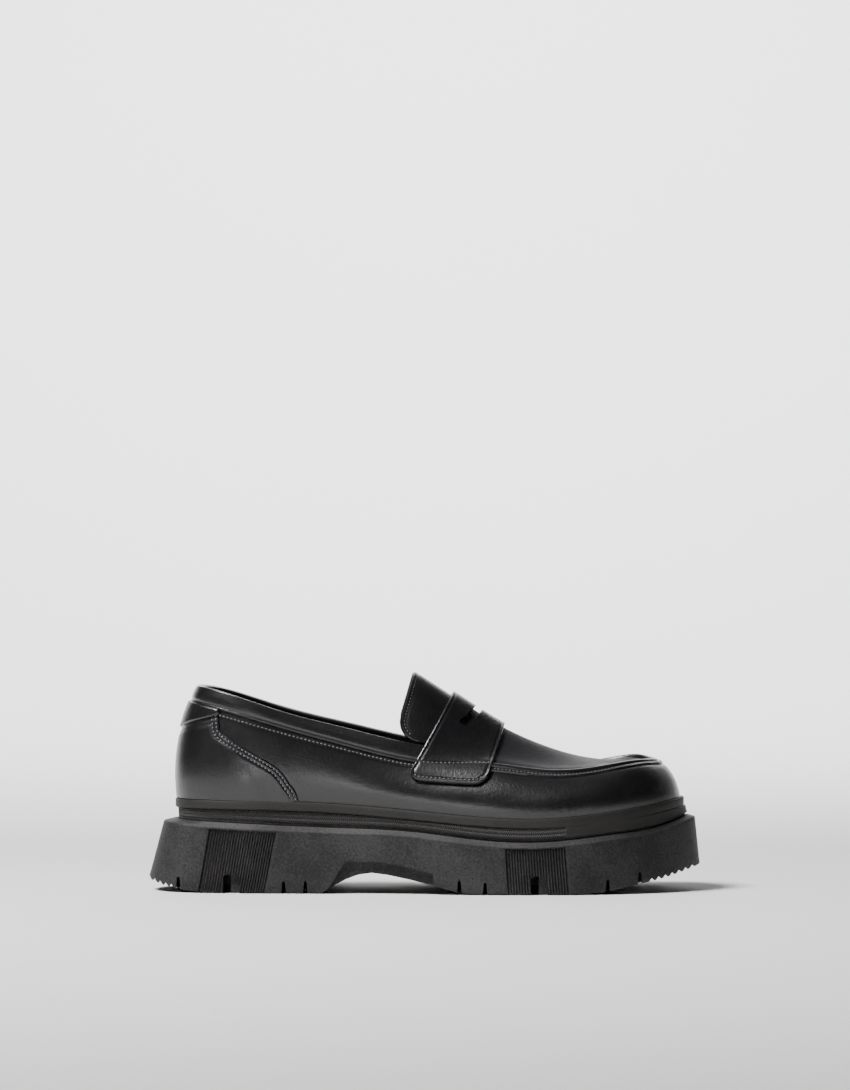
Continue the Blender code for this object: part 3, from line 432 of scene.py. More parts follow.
    def read(self, table: np.ndarray, at: np.ndarray, t: np.ndarray) -> np.ndarray:
        """Values of a table at places at and section values t, blended between the four nearest entries.

        Args:
            table: A value for every entry of the fine grid.
            at: Places, 0 at the heel to 1 at the toe.
            t: Section values, 0 to 8.

        Returns:
            The blended values.
        """
        at, t = np.broadcast_arrays(np.asarray(at, float), np.asarray(t, float))
        u = np.clip(at, 0, 1) * (self.PLACES - 1)
        v = np.clip(t, 0, 8) / 8 * (self.VALUES - 1)
        i = np.minimum(u.astype(int), self.PLACES - 2)
        j = np.minimum(v.astype(int), self.VALUES - 2)
        u, v = u - i, v - j
        if table.ndim == 3:
            u, v = u[..., None], v[..., None]
        low = table[i, j] * (1 - v) + table[i, j + 1] * v
        high = table[i + 1, j] * (1 - v) + table[i + 1, j + 1] * v
        return low * (1 - u) + high * u

    def point(self, at: np.ndarray, t: np.ndarray) -> np.ndarray:
        """Points of the surface."""
        return self.read(self.points, at, t)

    def normal(self, at: np.ndarray, t: np.ndarray) -> np.ndarray:
        """Outward normals of the surface."""
        found = self.read(self.normals, at, t)
        return found / np.linalg.norm(found, axis=-1)[..., None]

    def offset(self, at: np.ndarray, t: np.ndarray, out: np.ndarray | float) -> np.ndarray:
        """Points of the surface moved out along its normal."""
        at, t = np.broadcast_arrays(np.asarray(at, float), np.asarray(t, float))
        return self.point(at, t) + self.normal(at, t) * np.broadcast_to(out, at.shape)[..., None]

    def arc(self, at: np.ndarray, t: np.ndarray) -> np.ndarray:
        """Length up the section, from the outer feather edge."""
        return self.read(self.arcs, at, t)

    def arc_value(self, at: np.ndarray, t: np.ndarray, move: np.ndarray) -> np.ndarray:
        """The section values that lie move further along the section than t, by four Newton steps.

        Args:
            at: Places.
            t: Section values to start from.
            move: Length to go, plus up the outer side.

        Returns:
            The section values reached.
        """
        at, t = np.broadcast_arrays(np.asarray(at, float), np.asarray(t, float))
        goal = self.arc(at, t) + move
        found = t.copy()
        for _ in range(4):
            slope = (self.arc(at, found + 0.02) - self.arc(at, found - 0.02)) / 0.04
            found = np.clip(found + (goal - self.arc(at, found)) / np.maximum(slope, 1e-4), 0, 8)
        return found

    def slide(self, at: np.ndarray, t: np.ndarray, move: np.ndarray) -> tuple[np.ndarray, np.ndarray]:
        """Places and section values after a step along the surface, from its two partial slopes.

        Args:
            at: Places.
            t: Section values.
            move: The step, as a vector in space.

        Returns:
            The new places and section values.
        """
        small_at, small_t = 2e-3, 1e-2
        along = (self.point(at + small_at, t) - self.point(at - small_at, t)) / (2 * small_at)
        up = (self.point(at, t + small_t) - self.point(at, t - small_t)) / (2 * small_t)
        aa, uu, au = (along * along).sum(-1), (up * up).sum(-1), (along * up).sum(-1)
        ma, mu = (move * along).sum(-1), (move * up).sum(-1)
        det = np.maximum(aa * uu - au * au, 1e-12)
        return at + (ma * uu - mu * au) / det, t + (mu * aa - ma * au) / det

    def place(self, t: float, test: Callable[[np.ndarray], np.ndarray]) -> float:
        """The place on line t where test of the unshifted points passes zero.

        Args:
            t: The line's section value.
            test: A value for each unshifted point, rising through zero once.

        Returns:
            The place.
        """
        at = np.linspace(0.02, 0.98, 800)
        values = test(self.point(at, np.full(800, t)) + self.shift)
        order = np.argsort(values)
        return float(np.interp(0.0, values[order], at[order]))

    def place_along(self, t: float, along: float) -> float:
        """The place on line t at a share along."""
        return self.place(t, lambda p: p[:, 0] / UPPER_LENGTH - along)

    def edge_place(self, t: float, edge: Sequence[float]) -> float:
        """The place on line t that a slanted plane cuts: along and height at the crown, and its lean."""
        along, height, lean = edge
        x, z = along * UPPER_LENGTH, height * COLLAR_HEIGHT
        return self.place(t, lambda p: p[:, 0] - x + lean * (z - p[:, 2]))

    def edge_places(self, t: np.ndarray, edge: Sequence[float]) -> np.ndarray:
        """edge_place for each section value, from a spline through 49 of them."""
        knots = np.linspace(t.min(), t.max(), 49)
        return cubic(knots, np.array([self.edge_place(k, edge) for k in knots]), t)

    def past_seam(self, at: np.ndarray, t: np.ndarray) -> np.ndarray:
        """Length along the section from the nearer apron seam, plus towards the crown."""
        line = np.where(t <= 4, 2.0, 6.0)
        return (self.arc(at, t) - self.arc(at, line)) * np.where(t <= 4, 1, -1)

    def strap_limit(self, t: float) -> float:
        """The last place behind the strap's rear edge on line t, on both sides."""
        return min(self.edge_place(t, STRAP_REAR), self.edge_place(8 - t, STRAP_REAR)) - 0.004


def mesh_piece(
    name: str,
    points: np.ndarray,
    faces: np.ndarray,
    materials: Sequence[bpy.types.Material],
    slots: np.ndarray | None = None,
    uv: np.ndarray | None = None,
    merge: float = 2e-6,
    sharp: float = 40.0,
) -> bpy.types.Object:
    """A smooth mesh object in the frame, with doubles merged and normals out.

    Args:
        name: The object's name.
        points: Vertex places, one row each.
        faces: Corner numbers, four to a row; a repeated corner makes a triangle once merged.
        materials: The object's material slots.
        slots: Slot number of each face.
        uv: One pair for each vertex, in metres over the surface.
        merge: Distance below which vertices become one.
        sharp: Angle in degrees past which an edge stays sharp.

    Returns:
        The object, riding on the frame's body.
    """
    mesh = bpy.data.meshes.new(name)
    mesh.from_pydata(points.reshape(-1, 3).tolist(), [], faces.tolist())
    if uv is not None:
        layer = mesh.uv_layers.new(name="surface")
        loops = np.empty(len(mesh.loops), np.int32)
        mesh.loops.foreach_get("vertex_index", loops)
        layer.data.foreach_set("uv", uv.reshape(-1, 2)[loops].astype(np.float32).ravel())
    if slots is not None:
        mesh.polygons.foreach_set("material_index", slots.astype(np.int32))
    work = bmesh.new()
    work.from_mesh(mesh)
    bmesh.ops.delete(work, geom=[v for v in work.verts if not v.link_faces], context="VERTS")
    bmesh.ops.remove_doubles(work, verts=work.verts, dist=merge)
    bmesh.ops.dissolve_degenerate(work, edges=work.edges, dist=merge)
    bmesh.ops.recalc_face_normals(work, faces=work.faces)
    work.to_mesh(mesh)
    work.free()
    for material in materials:
        mesh.materials.append(material)
    mesh.shade_smooth()
    mesh.set_sharp_from_angle(angle=math.radians(sharp))
    piece = bpy.data.objects.new(name, mesh)
    bpy.context.scene.collection.objects.link(piece)
    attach(piece, "root")
    LOG.info("%s: %d faces", name, len(mesh.polygons))
    return piece


def grid_faces(rows: int, columns: int, round_rows: bool = False, round_columns: bool = False) -> np.ndarray:
    """Quads of a grid listed row by row, closed over in either direction if asked."""
    i = np.arange(rows if round_rows else rows - 1)[:, None]
    j = np.arange(columns if round_columns else columns - 1)[None, :]
    a, b = i * columns + j, i * columns + (j + 1) % columns
    c, d = (i + 1) % rows * columns + (j + 1) % columns, (i + 1) % rows * columns + j
    return np.stack([a, b, c, d], -1).reshape(-1, 4)


def slab_faces(rows: int, columns: int) -> np.ndarray:
    """Faces of two equal grids, one after the other, joined round their edges.

    Args:
        rows: Rows of one grid.
        columns: Columns of one grid.

    Returns:
        Quads, facing out once normals are recalculated.
    """
    count = rows * columns
    flat = grid_faces(rows, columns)
    corner = np.arange(count).reshape(rows, columns)
    rim = np.concatenate([corner[0], corner[1:, -1], corner[-1, -2::-1], corner[-2:0:-1, 0]])
    ahead = np.roll(rim, -1)
    wall = np.stack([ahead, rim, rim + count, ahead + count], -1)
    return np.concatenate([flat, flat[:, ::-1] + count, wall])


def rim_of(grid: np.ndarray, sides: tuple[bool, bool, bool, bool]) -> tuple[np.ndarray, np.ndarray]:
    """The steps along a grid's chosen sides: first row, last column, last row, first column.

    Args:
        grid: Points in rows and columns.
        sides: Which of the four sides count.

    Returns:
        Start and end points of the steps.
    """
    lines = [line for line, wanted in zip((grid[0], grid[:, -1], grid[-1], grid[:, 0]), sides) if wanted]
    return np.concatenate([line[:-1] for line in lines]), np.concatenate([line[1:] for line in lines])


def edge_distance(points: np.ndarray, start: np.ndarray, end: np.ndarray) -> np.ndarray:
    """Shortest distance from each grid point to steps that run from start to end, block by block.

    Args:
        points: Points in a grid.
        start: The steps' first points.
        end: The steps' last points.

    Returns:
        A distance for each point of the grid.
    """
    run = end - start
    length = np.maximum((run * run).sum(-1), 1e-14)
    flat = points.reshape(-1, 3)
    blocks = []
    for block in np.array_split(flat, max(1, len(flat) // 1500)):
        away = block[:, None] - start[None]
        share = np.clip((away * run).sum(-1) / length, 0, 1)
        blocks.append(np.sqrt(((away - share[..., None] * run) ** 2).sum(-1).min(1)))
    return np.concatenate(blocks).reshape(points.shape[:-1])


def eased(count: int, pull: float = 0.6) -> np.ndarray:
    """Shares from 0 to 1 that crowd towards both ends, a mix of even steps and a cosine."""
    even = np.linspace(0, 1, count)
    return even * (1 - pull) + (1 - np.cos(np.pi * even)) / 2 * pull


class Nodes:
    """A material's node tree while it is being wired."""

    def __init__(self, name: str) -> None:
        """Makes the material with its Principled shader, and reads the object's own coordinates."""
        self.material = bpy.data.materials.new(name)
        self.material.use_nodes = True
        self.tree = self.material.node_tree
        self.shader = self.tree.nodes["Principled BSDF"]
        self.at = self.add("TexCoord").outputs["Object"]

    def add(self, kind: str, settings: dict | None = None, **inputs: object) -> bpy.types.Node:
        """Adds a node.

        Args:
            kind: The node's Blender type, without ShaderNode in front.
            settings: Attributes of the node; stops stands for a ramp's two pairs of place and colour.
            inputs: What feed takes, by socket name with _ for a space, or by i and a number.

        Returns:
            The node.
        """
        node = self.tree.nodes.new("ShaderNode" + kind)
        for key, value in (settings or {}).items():
            if key == "stops":
                for element, (place, colour) in zip(node.color_ramp.elements, value):
                    element.position, element.color = place, colour
            else:
                setattr(node, key, value)
        for key, value in inputs.items():
            numbered = key[0] == "i" and key[1:].isdigit()
            self.feed(node.inputs[int(key[1:]) if numbered else key.replace("_", " ")], value)
        return node

    def feed(self, socket: bpy.types.NodeSocket, value: object) -> None:
        """Links a socket from a socket or from a node's first output, or sets its value."""
        source = value.outputs[0] if isinstance(value, bpy.types.Node) else value
        if isinstance(source, bpy.types.NodeSocket):
            self.tree.links.new(source, socket)
        else:
            socket.default_value = source

    def set(self, **inputs: object) -> None:
        """Sets or links the Principled shader's sockets by name with _ for a space."""
        for key, value in inputs.items():
            self.feed(self.shader.inputs[key.replace("_", " ")], value)


def linear(hex_colour: str) -> tuple[float, float, float, float]:
    """sRGB hex text as linear red, green, blue and alpha."""
    values = [int(hex_colour[i : i + 2], 16) / 255 for i in (1, 3, 5)]
    return (*[v / 12.92 if v <= 0.04045 else ((v + 0.055) / 1.055) ** 2.4 for v in values], 1.0)


@dataclass(frozen=True)
class BoxCalf:
    """Box calf, chrome tanned and plated: a tight pore grain under a thin film, waxed or left satin."""

    name: str = "Box calf, plated and wax polished"
    colour: str = "#0b0b0c"
    worn: str = "#100f11"
    roughness: float = 0.32
    # Drawn coarser than real pores and creases, which are too fine to show in the render
    pore_mm: float = 0.85
    crease_mm: float = 2.2
    grain_lift: float = 0.00006
    crease_lift: float = 0.00009
    coat: float = 0.40
    shine: float = 0.48
    tint: tuple[float, float, float, float] = (1.0, 0.98, 1.0, 1.0)

    def build(self) -> bpy.types.Material:
        """The leather's material: cells of pore size for grain, and drawn-out noise for the fine creases."""
        n = Nodes(self.name)
        cells = {"feature": "SMOOTH_F1"}
        pores = n.add("TexVoronoi", cells, Vector=n.at, Scale=1000 / self.pore_mm, Smoothness=0.6)
        cloud = n.add("TexNoise", Vector=n.at, Scale=1 / 0.018, Detail=4, Roughness=0.55)
        fine = n.add("TexNoise", Vector=n.at, Scale=1 / 0.0015, Detail=2, Roughness=0.5)
        drawn = n.add("Mapping", Vector=n.at, Scale=(1.0, 1.0, 0.4), Rotation=(0, 0.5, 0))
        creases = n.add("TexNoise", Vector=drawn, Scale=1000 / self.crease_mm, Detail=3, Roughness=0.55)
        stops = ((0.30, linear(self.colour)), (0.75, linear(self.worn)))
        base = n.add("ValToRGB", {"stops": stops}, Fac=cloud)
        wide = n.add("Math", {"operation": "MULTIPLY"}, i0=cloud, i1=0.6)
        narrow = n.add("Math", {"operation": "MULTIPLY"}, i0=fine, i1=0.4)
        rough = n.add(
            "MapRange",
            Value=n.add("Math", {"operation": "ADD"}, i0=wide, i1=narrow),
            From_Min=0.30,
            From_Max=0.70,
            To_Min=self.roughness - 0.02,
            To_Max=self.roughness + 0.06,
        )
        low = n.add("Bump", Strength=1.0, Distance=self.crease_lift, Height=creases)
        mid = n.add("Bump", Strength=0.9, Distance=self.grain_lift * 2.4, Height=fine, Normal=low)
        high = n.add("Bump", Strength=0.9, Distance=self.grain_lift, Height=pores, Normal=mid)
        n.set(Base_Color=base, Roughness=rough, Normal=high, Specular_Tint=self.tint)
        n.set(IOR=1.5, Specular_IOR_Level=self.shine)
        n.set(Coat_Weight=self.coat, Coat_Roughness=0.24, Coat_IOR=1.5)
        return n.material


@dataclass(frozen=True)
class SuedeLining:
    """Pigskin lining, buffed to a short nap: no gloss, a faint mottle."""

    name: str = "Pigskin lining, buffed"
    colour: str = "#111010"
    pale: str = "#1a1817"

    def build(self) -> bpy.types.Material:
        """The lining's material: mottle of a few millimetres, and a nap of short noise."""
        n = Nodes(self.name)
        mottle = n.add("TexNoise", Vector=n.at, Scale=1 / 0.006, Detail=4, Roughness=0.6)
        nap = n.add("TexNoise", Vector=n.at, Scale=1 / 0.0007, Detail=4, Roughness=0.7)
        stops = ((0.35, linear(self.colour)), (0.7, linear(self.pale)))
        base = n.add("ValToRGB", {"stops": stops}, Fac=mottle)
        bump = n.add("Bump", Strength=0.6, Distance=0.00006, Height=nap)
        n.set(Base_Color=base, Roughness=0.78, Normal=bump, IOR=1.45)
        n.set(Sheen_Weight=0.12, Sheen_Roughness=0.5)
        return n.material


@dataclass(frozen=True)
class WaxedThread:
    """Bonded polyester thread, waxed: twisted strands with a dull shine, drawn in greys far lighter than
    black thread and paler on each strand's crest, as painted highlight.
    """

    name: str = "Bonded polyester thread, waxed"
    # Both greys stand far lighter than the black thread: painted highlight.
    colour: str = "#3a383b"
    light: str = "#6d6a70"

    def build(self) -> bpy.types.Material:
        """The thread's material: strands about 0.4 mm apart, from a wave at a slant, coarse so as to show;
        the same wave makes each strand's crest paler, a painted highlight.
        """
        n = Nodes(self.name)
        bands = {"wave_type": "BANDS", "bands_direction": "DIAGONAL"}
        wave = n.add("TexWave", bands, Vector=n.at, Scale=1 / 0.0011, Distortion=0.6)
        twist = wave.outputs["Fac"]
        # Colour follows the strand wave: paler crests are painted highlight.
        stops = ((0.2, linear(self.colour)), (0.8, linear(self.light)))
        base = n.add("ValToRGB", {"stops": stops}, Fac=twist)
        bump = n.add("Bump", Strength=0.5, Distance=0.00005, Height=twist)
        n.set(Base_Color=base, Roughness=0.36, Normal=bump, IOR=1.5)
        n.set(Coat_Weight=0.2, Coat_Roughness=0.3)
        return n.material


@dataclass(frozen=True)
class GrainedRubber:
    """Thermoplastic rubber from a spark-eroded mould: matte, with a fine pebble all over."""

    name: str = "Thermoplastic rubber, moulded"
    colour: str = "#110f10"
    pale: str = "#2b2a2a"
    # Drawn coarser than a real eroded grain, which is too fine to show in the render
    pebble_mm: float = 1.1
    lift: float = 0.00028
    roughness: float = 0.62

    def build(self) -> bpy.types.Material:
        """The rubber's material: pebbles from two sizes of noise, and a slow bloom in its colour; the colour
        is also paler on the pebbles' tops and darker between them, a painted highlight and shade.
        """
        n = Nodes(self.name)
        pebble = n.add("TexNoise", Vector=n.at, Scale=1000 / self.pebble_mm, Detail=2, Roughness=0.5)
        dust = n.add("TexNoise", Vector=n.at, Scale=1 / 0.00035, Detail=3, Roughness=0.6)
        bloom = n.add("TexNoise", Vector=n.at, Scale=1 / 0.022, Detail=3, Roughness=0.5)
        cloudy = n.add("Math", {"operation": "MULTIPLY"}, i0=bloom, i1=0.45)
        # Colour follows the pebble's height: pale tops and dark hollows are painted highlight and shade; the
        # bloom is random tone.
        pebble_painted_light = n.add("Math", {"operation": "MULTIPLY"}, i0=pebble, i1=0.55)
        mix = n.add("Math", {"operation": "ADD"}, i0=cloudy, i1=pebble_painted_light)
        stops = ((0.42, linear(self.colour)), (0.62, linear(self.pale)))
        base = n.add("ValToRGB", {"stops": stops}, Fac=mix)
        faint = n.add("Math", {"operation": "MULTIPLY"}, i0=dust, i1=0.35)
        height = n.add("Math", {"operation": "ADD"}, i0=pebble, i1=faint)
        bump = n.add("Bump", Strength=0.9, Distance=self.lift, Height=height)
        n.set(Base_Color=base, Roughness=self.roughness, Normal=bump, IOR=1.5, Specular_IOR_Level=0.36)
        return n.material


@dataclass(frozen=True)
class KnurledRubber:
    """The same rubber with a twill knurl moulded in: short slanted dashes in rows that lean either way."""

    name: str = "Thermoplastic rubber, knurled"
    colour: str = "#0c0b0b"
    pale: str = "#33302e"
    pitch_mm: float = 1.15
    rows: int = 5
    band_mm: float = 5.6

    def build(self) -> bpy.types.Material:
        """The band's material: the height is a ridge wave along the band, shifted row by row in a zigzag; the
        colour follows the height, dark in the gaps and pale on the ridges, as painted shade and highlight.
        """
        n = Nodes(self.name)
        parts = n.add("SeparateXYZ", Vector=n.add("UVMap", {"uv_map": "surface"}))
        per_row, per_dash = self.rows * 1000 / self.band_mm, 1000 / self.pitch_mm
        row = n.add("Math", {"operation": "MULTIPLY"}, i0=parts.outputs["Y"], i1=per_row)
        zigzag = n.add("Math", {"operation": "PINGPONG"}, i0=row, i1=1.0)
        dashes = n.add("Math", {"operation": "MULTIPLY"}, i0=parts.outputs["X"], i1=per_dash)
        lean = n.add("Math", {"operation": "MULTIPLY"}, i0=zigzag, i1=0.9)
        run = n.add("Math", {"operation": "ADD"}, i0=dashes, i1=lean)
        share = n.add("Math", {"operation": "FRACT"}, i0=run)
        off_dash = n.add("Math", {"operation": "SUBTRACT"}, i0=share, i1=0.5)
        wave = n.add("Math", {"operation": "ABSOLUTE"}, i0=off_dash)
        off_row = n.add("Math", {"operation": "SUBTRACT"}, i0=zigzag, i1=0.5)
        lines = n.add("Math", {"operation": "ABSOLUTE"}, i0=off_row)
        steep = n.add("Math", {"operation": "POWER"}, i0=lines, i1=4.0)
        gaps = n.add("Math", {"operation": "MULTIPLY"}, i0=steep, i1=5.0)
        ridges = n.add("Math", {"operation": "MULTIPLY"}, i0=wave, i1=2.0)
        height = n.add("Math", {"operation": "SUBTRACT"}, i0=ridges, i1=gaps)
        dust = n.add("TexNoise", Vector=n.at, Scale=1 / 0.0005, Detail=3, Roughness=0.6)
        # The base colour follows the height: dark gaps and pale ridges are painted shade and highlight.
        stops = ((0.25, linear(self.colour)), (0.8, linear(self.pale)))
        base = n.add("ValToRGB", {"stops": stops}, Fac=height)
        bump = n.add("Bump", Strength=1.0, Distance=0.00045, Height=height)
        grain = n.add("Bump", Strength=0.5, Distance=0.00005, Height=dust, Normal=bump)
        n.set(Base_Color=base, Roughness=0.6, Normal=grain, IOR=1.5, Specular_IOR_Level=0.45)
        return n.material


@dataclass(frozen=True)
class SeamlessPaper:
    """Seamless background paper, rolled out under the shoe: even and matte."""

    name: str = "Seamless paper, rolled"
    colour: str = "#dcdcdc"

    def build(self) -> bpy.types.Material:
        """The paper's material, with a barely seen fibre."""
        n = Nodes(self.name)
        fibre = n.add("TexNoise", Vector=n.at, Scale=1 / 0.003, Detail=3, Roughness=0.6)
        bump = n.add("Bump", Strength=0.1, Distance=0.0001, Height=fibre)
        n.set(Base_Color=linear(self.colour), Roughness=0.9, Specular_IOR_Level=0.1, Normal=bump)
        return n.material


@dataclass
class Finishes:
    """Every material of the shoe, built once."""

    leather: bpy.types.Material
    satin_painted_sheen: bpy.types.Material
    lining: bpy.types.Material
    thread: bpy.types.Material
    rubber: bpy.types.Material
    rim: bpy.types.Material
    knurl: bpy.types.Material

    @classmethod
    def make(cls) -> "Finishes":
        """Builds the materials."""
        # The satin copy is rougher and uncoated. Its base colours, lighter and more violet than the waxed
        # leather's, are painted sheen.
        satin_painted_sheen = BoxCalf(
            "Box calf, plated, left satin",
            "#0e0d10",
            "#131116",
            roughness=0.52,
            coat=0.0,
            shine=0.28,
            tint=(1.0, 0.95, 1.0, 1.0),
        )
        rim = GrainedRubber("Thermoplastic rubber, moulded rim", "#191817", "#211f1d", 0.6, 0.00010, 0.55)
        return cls(
            BoxCalf().build(),
            satin_painted_sheen.build(),
            SuedeLining().build(),
            WaxedThread().build(),
            GrainedRubber().build(),
            rim.build(),
            KnurledRubber().build(),
        )


@dataclass(frozen=True)
class Crease:
    """A soft trough or ridge pressed into the leather: where, how long, how wide, how deep."""

    along: float
    rise: float
    outer: bool
    turn: float
    length: float
    width: float
    depth: float

    def press(self, points: np.ndarray) -> np.ndarray:
        """Its depth at points: a bell across its width times a wider bell along its length.

        Args:
            points: Points in the frame.

        Returns:
            How deep each is pressed.
        """
        x = points[..., 0] + LAST.shift[0] - self.along * UPPER_LENGTH
        z = points[..., 2] - float(feather_height(self.along)[0]) - self.rise * COLLAR_HEIGHT
        run = x * math.cos(self.turn) + z * math.sin(self.turn)
        off = -x * math.sin(self.turn) + z * math.cos(self.turn)
        off = off + 0.12 * self.length * np.sin(run / self.length * 2.1)
        side = points[..., 1] < 0 if self.outer else points[..., 1] >= 0
        return self.depth * np.exp(-((off / self.width) ** 2) - (run / self.length) ** 4) * side


def hand_creases() -> tuple[Crease, ...]:
    """Creases placed one by one over the ball, at the waist and by the counter; the inner ones are guessed.
    """
    made = [
        Crease(0.779, 0.115, True, 1.92, 0.0052, 0.00060, 0.00034),
        Crease(0.789, 0.120, True, 1.80, 0.0060, 0.00060, 0.00040),
        Crease(0.799, 0.118, True, 1.72, 0.0055, 0.00060, 0.00034),
        Crease(0.810, 0.105, True, 1.62, 0.0040, 0.00060, 0.00024),
        Crease(0.765, 0.105, True, 2.05, 0.0040, 0.00060, 0.00020),
        Crease(0.793, 0.120, False, 1.85, 0.0058, 0.00055, 0.00022),
        Crease(0.806, 0.110, False, 1.70, 0.0050, 0.00055, 0.00020),
        Crease(0.155, 0.300, True, -0.55, 0.0140, 0.0050, 0.00035),
    ]
    for outer in (True, False):
        made.append(Crease(0.700, 0.300, outer, 0.35, 0.0220, 0.0050, 0.00025))
        made.append(Crease(0.560, 0.210, outer, 0.20, 0.0300, 0.0070, 0.00025))
    return tuple(made)


def pressed(points: np.ndarray) -> np.ndarray:
    """All the creases' depths added up."""
    total = np.zeros(points.shape[:-1])
    for crease in CREASES:
        total = total + crease.press(points)
    return total


@dataclass(frozen=True)
class Stitch:
    """A size of stitch: hole to hole, the share of that which shows as thread, and the thread's width."""

    pitch: float
    share: float
    width: float


APRON_STITCH = Stitch(0.0021, 0.66, 0.00070)
TONGUE_STITCH = Stitch(0.0021, 0.66, 0.00055)
EDGE_STITCH = Stitch(0.0023, 0.64, 0.00085)
COUNTER_STITCH = Stitch(0.0023, 0.64, 0.00090)


class Stitching:
    """Rows of stitches, gathered up and made into one mesh of small sunken capsules."""

    SIDES = 6
    PROFILE = ((-1.0, 0.15), (-0.72, 0.78), (0.0, 1.0), (0.72, 0.78), (1.0, 0.15))
    # Shares of the thread's half width: its height, how far its ends dip, and how far it stands out
    FLATNESS = 0.8
    DIP = 0.9
    PROUD = 0.30

    def __init__(self, name: str) -> None:
        """Starts with no rows."""
        self.name = name
        self.centres: list[np.ndarray] = []
        self.runs: list[np.ndarray] = []
        self.ups: list[np.ndarray] = []
        self.sizes: list[np.ndarray] = []

    def row(self, path: np.ndarray, normals: np.ndarray, stitch: Stitch) -> None:
        """Adds a row of stitches along a path.

        Args:
            path: Points on the leather.
            normals: Outward normals there.
            stitch: The stitches' size.
        """
        steps = np.linalg.norm(np.diff(path, axis=0), axis=1)
        travelled = np.concatenate([[0], np.cumsum(steps)])
        count = int(travelled[-1] / stitch.pitch)
        if count < 1:
            return
        at = (np.arange(count) + 0.5) * travelled[-1] / count
        here = np.stack([np.interp(at, travelled, path[:, k]) for k in range(3)], 1)
        reach = stitch.pitch * 0.3
        ahead = np.stack([np.interp(at + reach, travelled, path[:, k]) for k in range(3)], 1)
        behind = np.stack([np.interp(at - reach, travelled, path[:, k]) for k in range(3)], 1)
        up = np.stack([np.interp(at, travelled, normals[:, k]) for k in range(3)], 1)
        run = ahead - behind
        run /= np.linalg.norm(run, axis=1)[:, None]
        up -= run * (up * run).sum(1)[:, None]
        up /= np.linalg.norm(up, axis=1)[:, None]
        self.centres.append(here)
        self.runs.append(run)
        self.ups.append(up)
        self.sizes.append(np.tile((stitch.pitch * stitch.share / 2, stitch.width / 2), (count, 1)))

    def build(self, finish: bpy.types.Material) -> bpy.types.Object:
        """One mesh of all the stitches: rings round each stitch's axis, swelling to its middle.

        Args:
            finish: The thread's material.

        Returns:
            The stitches' object.
        """
        centre, run, up, size = (np.concatenate(a) for a in (self.centres, self.runs, self.ups, self.sizes))
        side = np.cross(run, up)
        shape = np.array(self.PROFILE)
        turn = np.linspace(0, 2 * np.pi, self.SIDES, endpoint=False)
        s, radius = shape[:, 0][None, :, None, None], shape[:, 1][None, :, None, None]
        half, thick = size[:, 0][:, None, None, None], size[:, 1][:, None, None, None]
        around = np.cos(turn)[None, None, :, None] * side[:, None, None, :]
        around = around + np.sin(turn)[None, None, :, None] * up[:, None, None, :] * self.FLATNESS
        bend = -(s**2) * thick * self.DIP
        points = centre[:, None, None, :] + run[:, None, None, :] * s * half
        points = points + up[:, None, None, :] * (bend + thick * self.PROUD) + around * radius * thick
        rings = len(shape)
        one = grid_faces(rings, self.SIDES, round_columns=True)
        ends = np.array([[0, 5, 4, 3], [0, 3, 2, 1]])
        top = ends[:, ::-1] + (rings - 1) * self.SIDES
        one = np.concatenate([one, ends, top])
        step = rings * self.SIDES
        faces = (one[None] + (np.arange(len(centre)) * step)[:, None, None]).reshape(-1, 4)
        return mesh_piece(self.name, points, faces, [finish], merge=1e-8, sharp=180)


@dataclass
class LeatherPiece:
    """A stitched-on leather piece, lying on the last's surface with its edge rounded off."""

    name: str
    at: np.ndarray
    t: np.ndarray
    thickness: float
    roundness: float = 0.0011
    low: float = 0.0
    grooves: tuple[tuple[float, float], ...] = ()
    puff: float = 0.0
    sides: tuple[bool, bool, bool, bool] = (True, True, True, True)
    extra: Callable[[np.ndarray, np.ndarray], np.ndarray] | None = None

    # Half width of a stitched groove, reach of the swell, and how far the under face sinks in
    GROOVE_HALF = 0.00065
    PUFF_REACH = 0.006
    SUNK = 0.00002

    def heights(self, base: np.ndarray) -> np.ndarray:
        """Thickness at base points: a quarter circle in from the edge, stitched grooves, and a slow swell.

        Args:
            base: Points of the last's surface under the piece.

        Returns:
            The thickness at each.
        """
        away = edge_distance(base, *rim_of(base, self.sides))
        share = np.clip(away / self.roundness, 0, 1)
        height = self.thickness * np.sqrt(1 - (1 - share) ** 2)
        for at, depth in self.grooves:
            height = height - depth * np.exp(-(((away - at) / self.GROOVE_HALF) ** 2)) * share
        height = height + self.puff * smooth(away, 0.0, self.PUFF_REACH)
        if self.extra is not None:
            height = height + self.extra(self.at, self.t) * share
        return height

    def build(self, finish: bpy.types.Material) -> bpy.types.Object:
        """The piece as a closed slab between its under face and its rounded upper face.

        Args:
            finish: The piece's leather.

        Returns:
            The piece's object.
        """
        base = LAST.point(self.at, self.t)
        lift = self.low + -pressed(base)
        top = LAST.offset(self.at, self.t, lift + self.heights(base))
        under = LAST.offset(self.at, self.t, lift - self.SUNK)
        rows, columns = self.at.shape
        points = np.concatenate([top.reshape(-1, 3), under.reshape(-1, 3)])
        return mesh_piece(self.name, points, slab_faces(rows, columns), [finish], merge=1e-7, sharp=60)


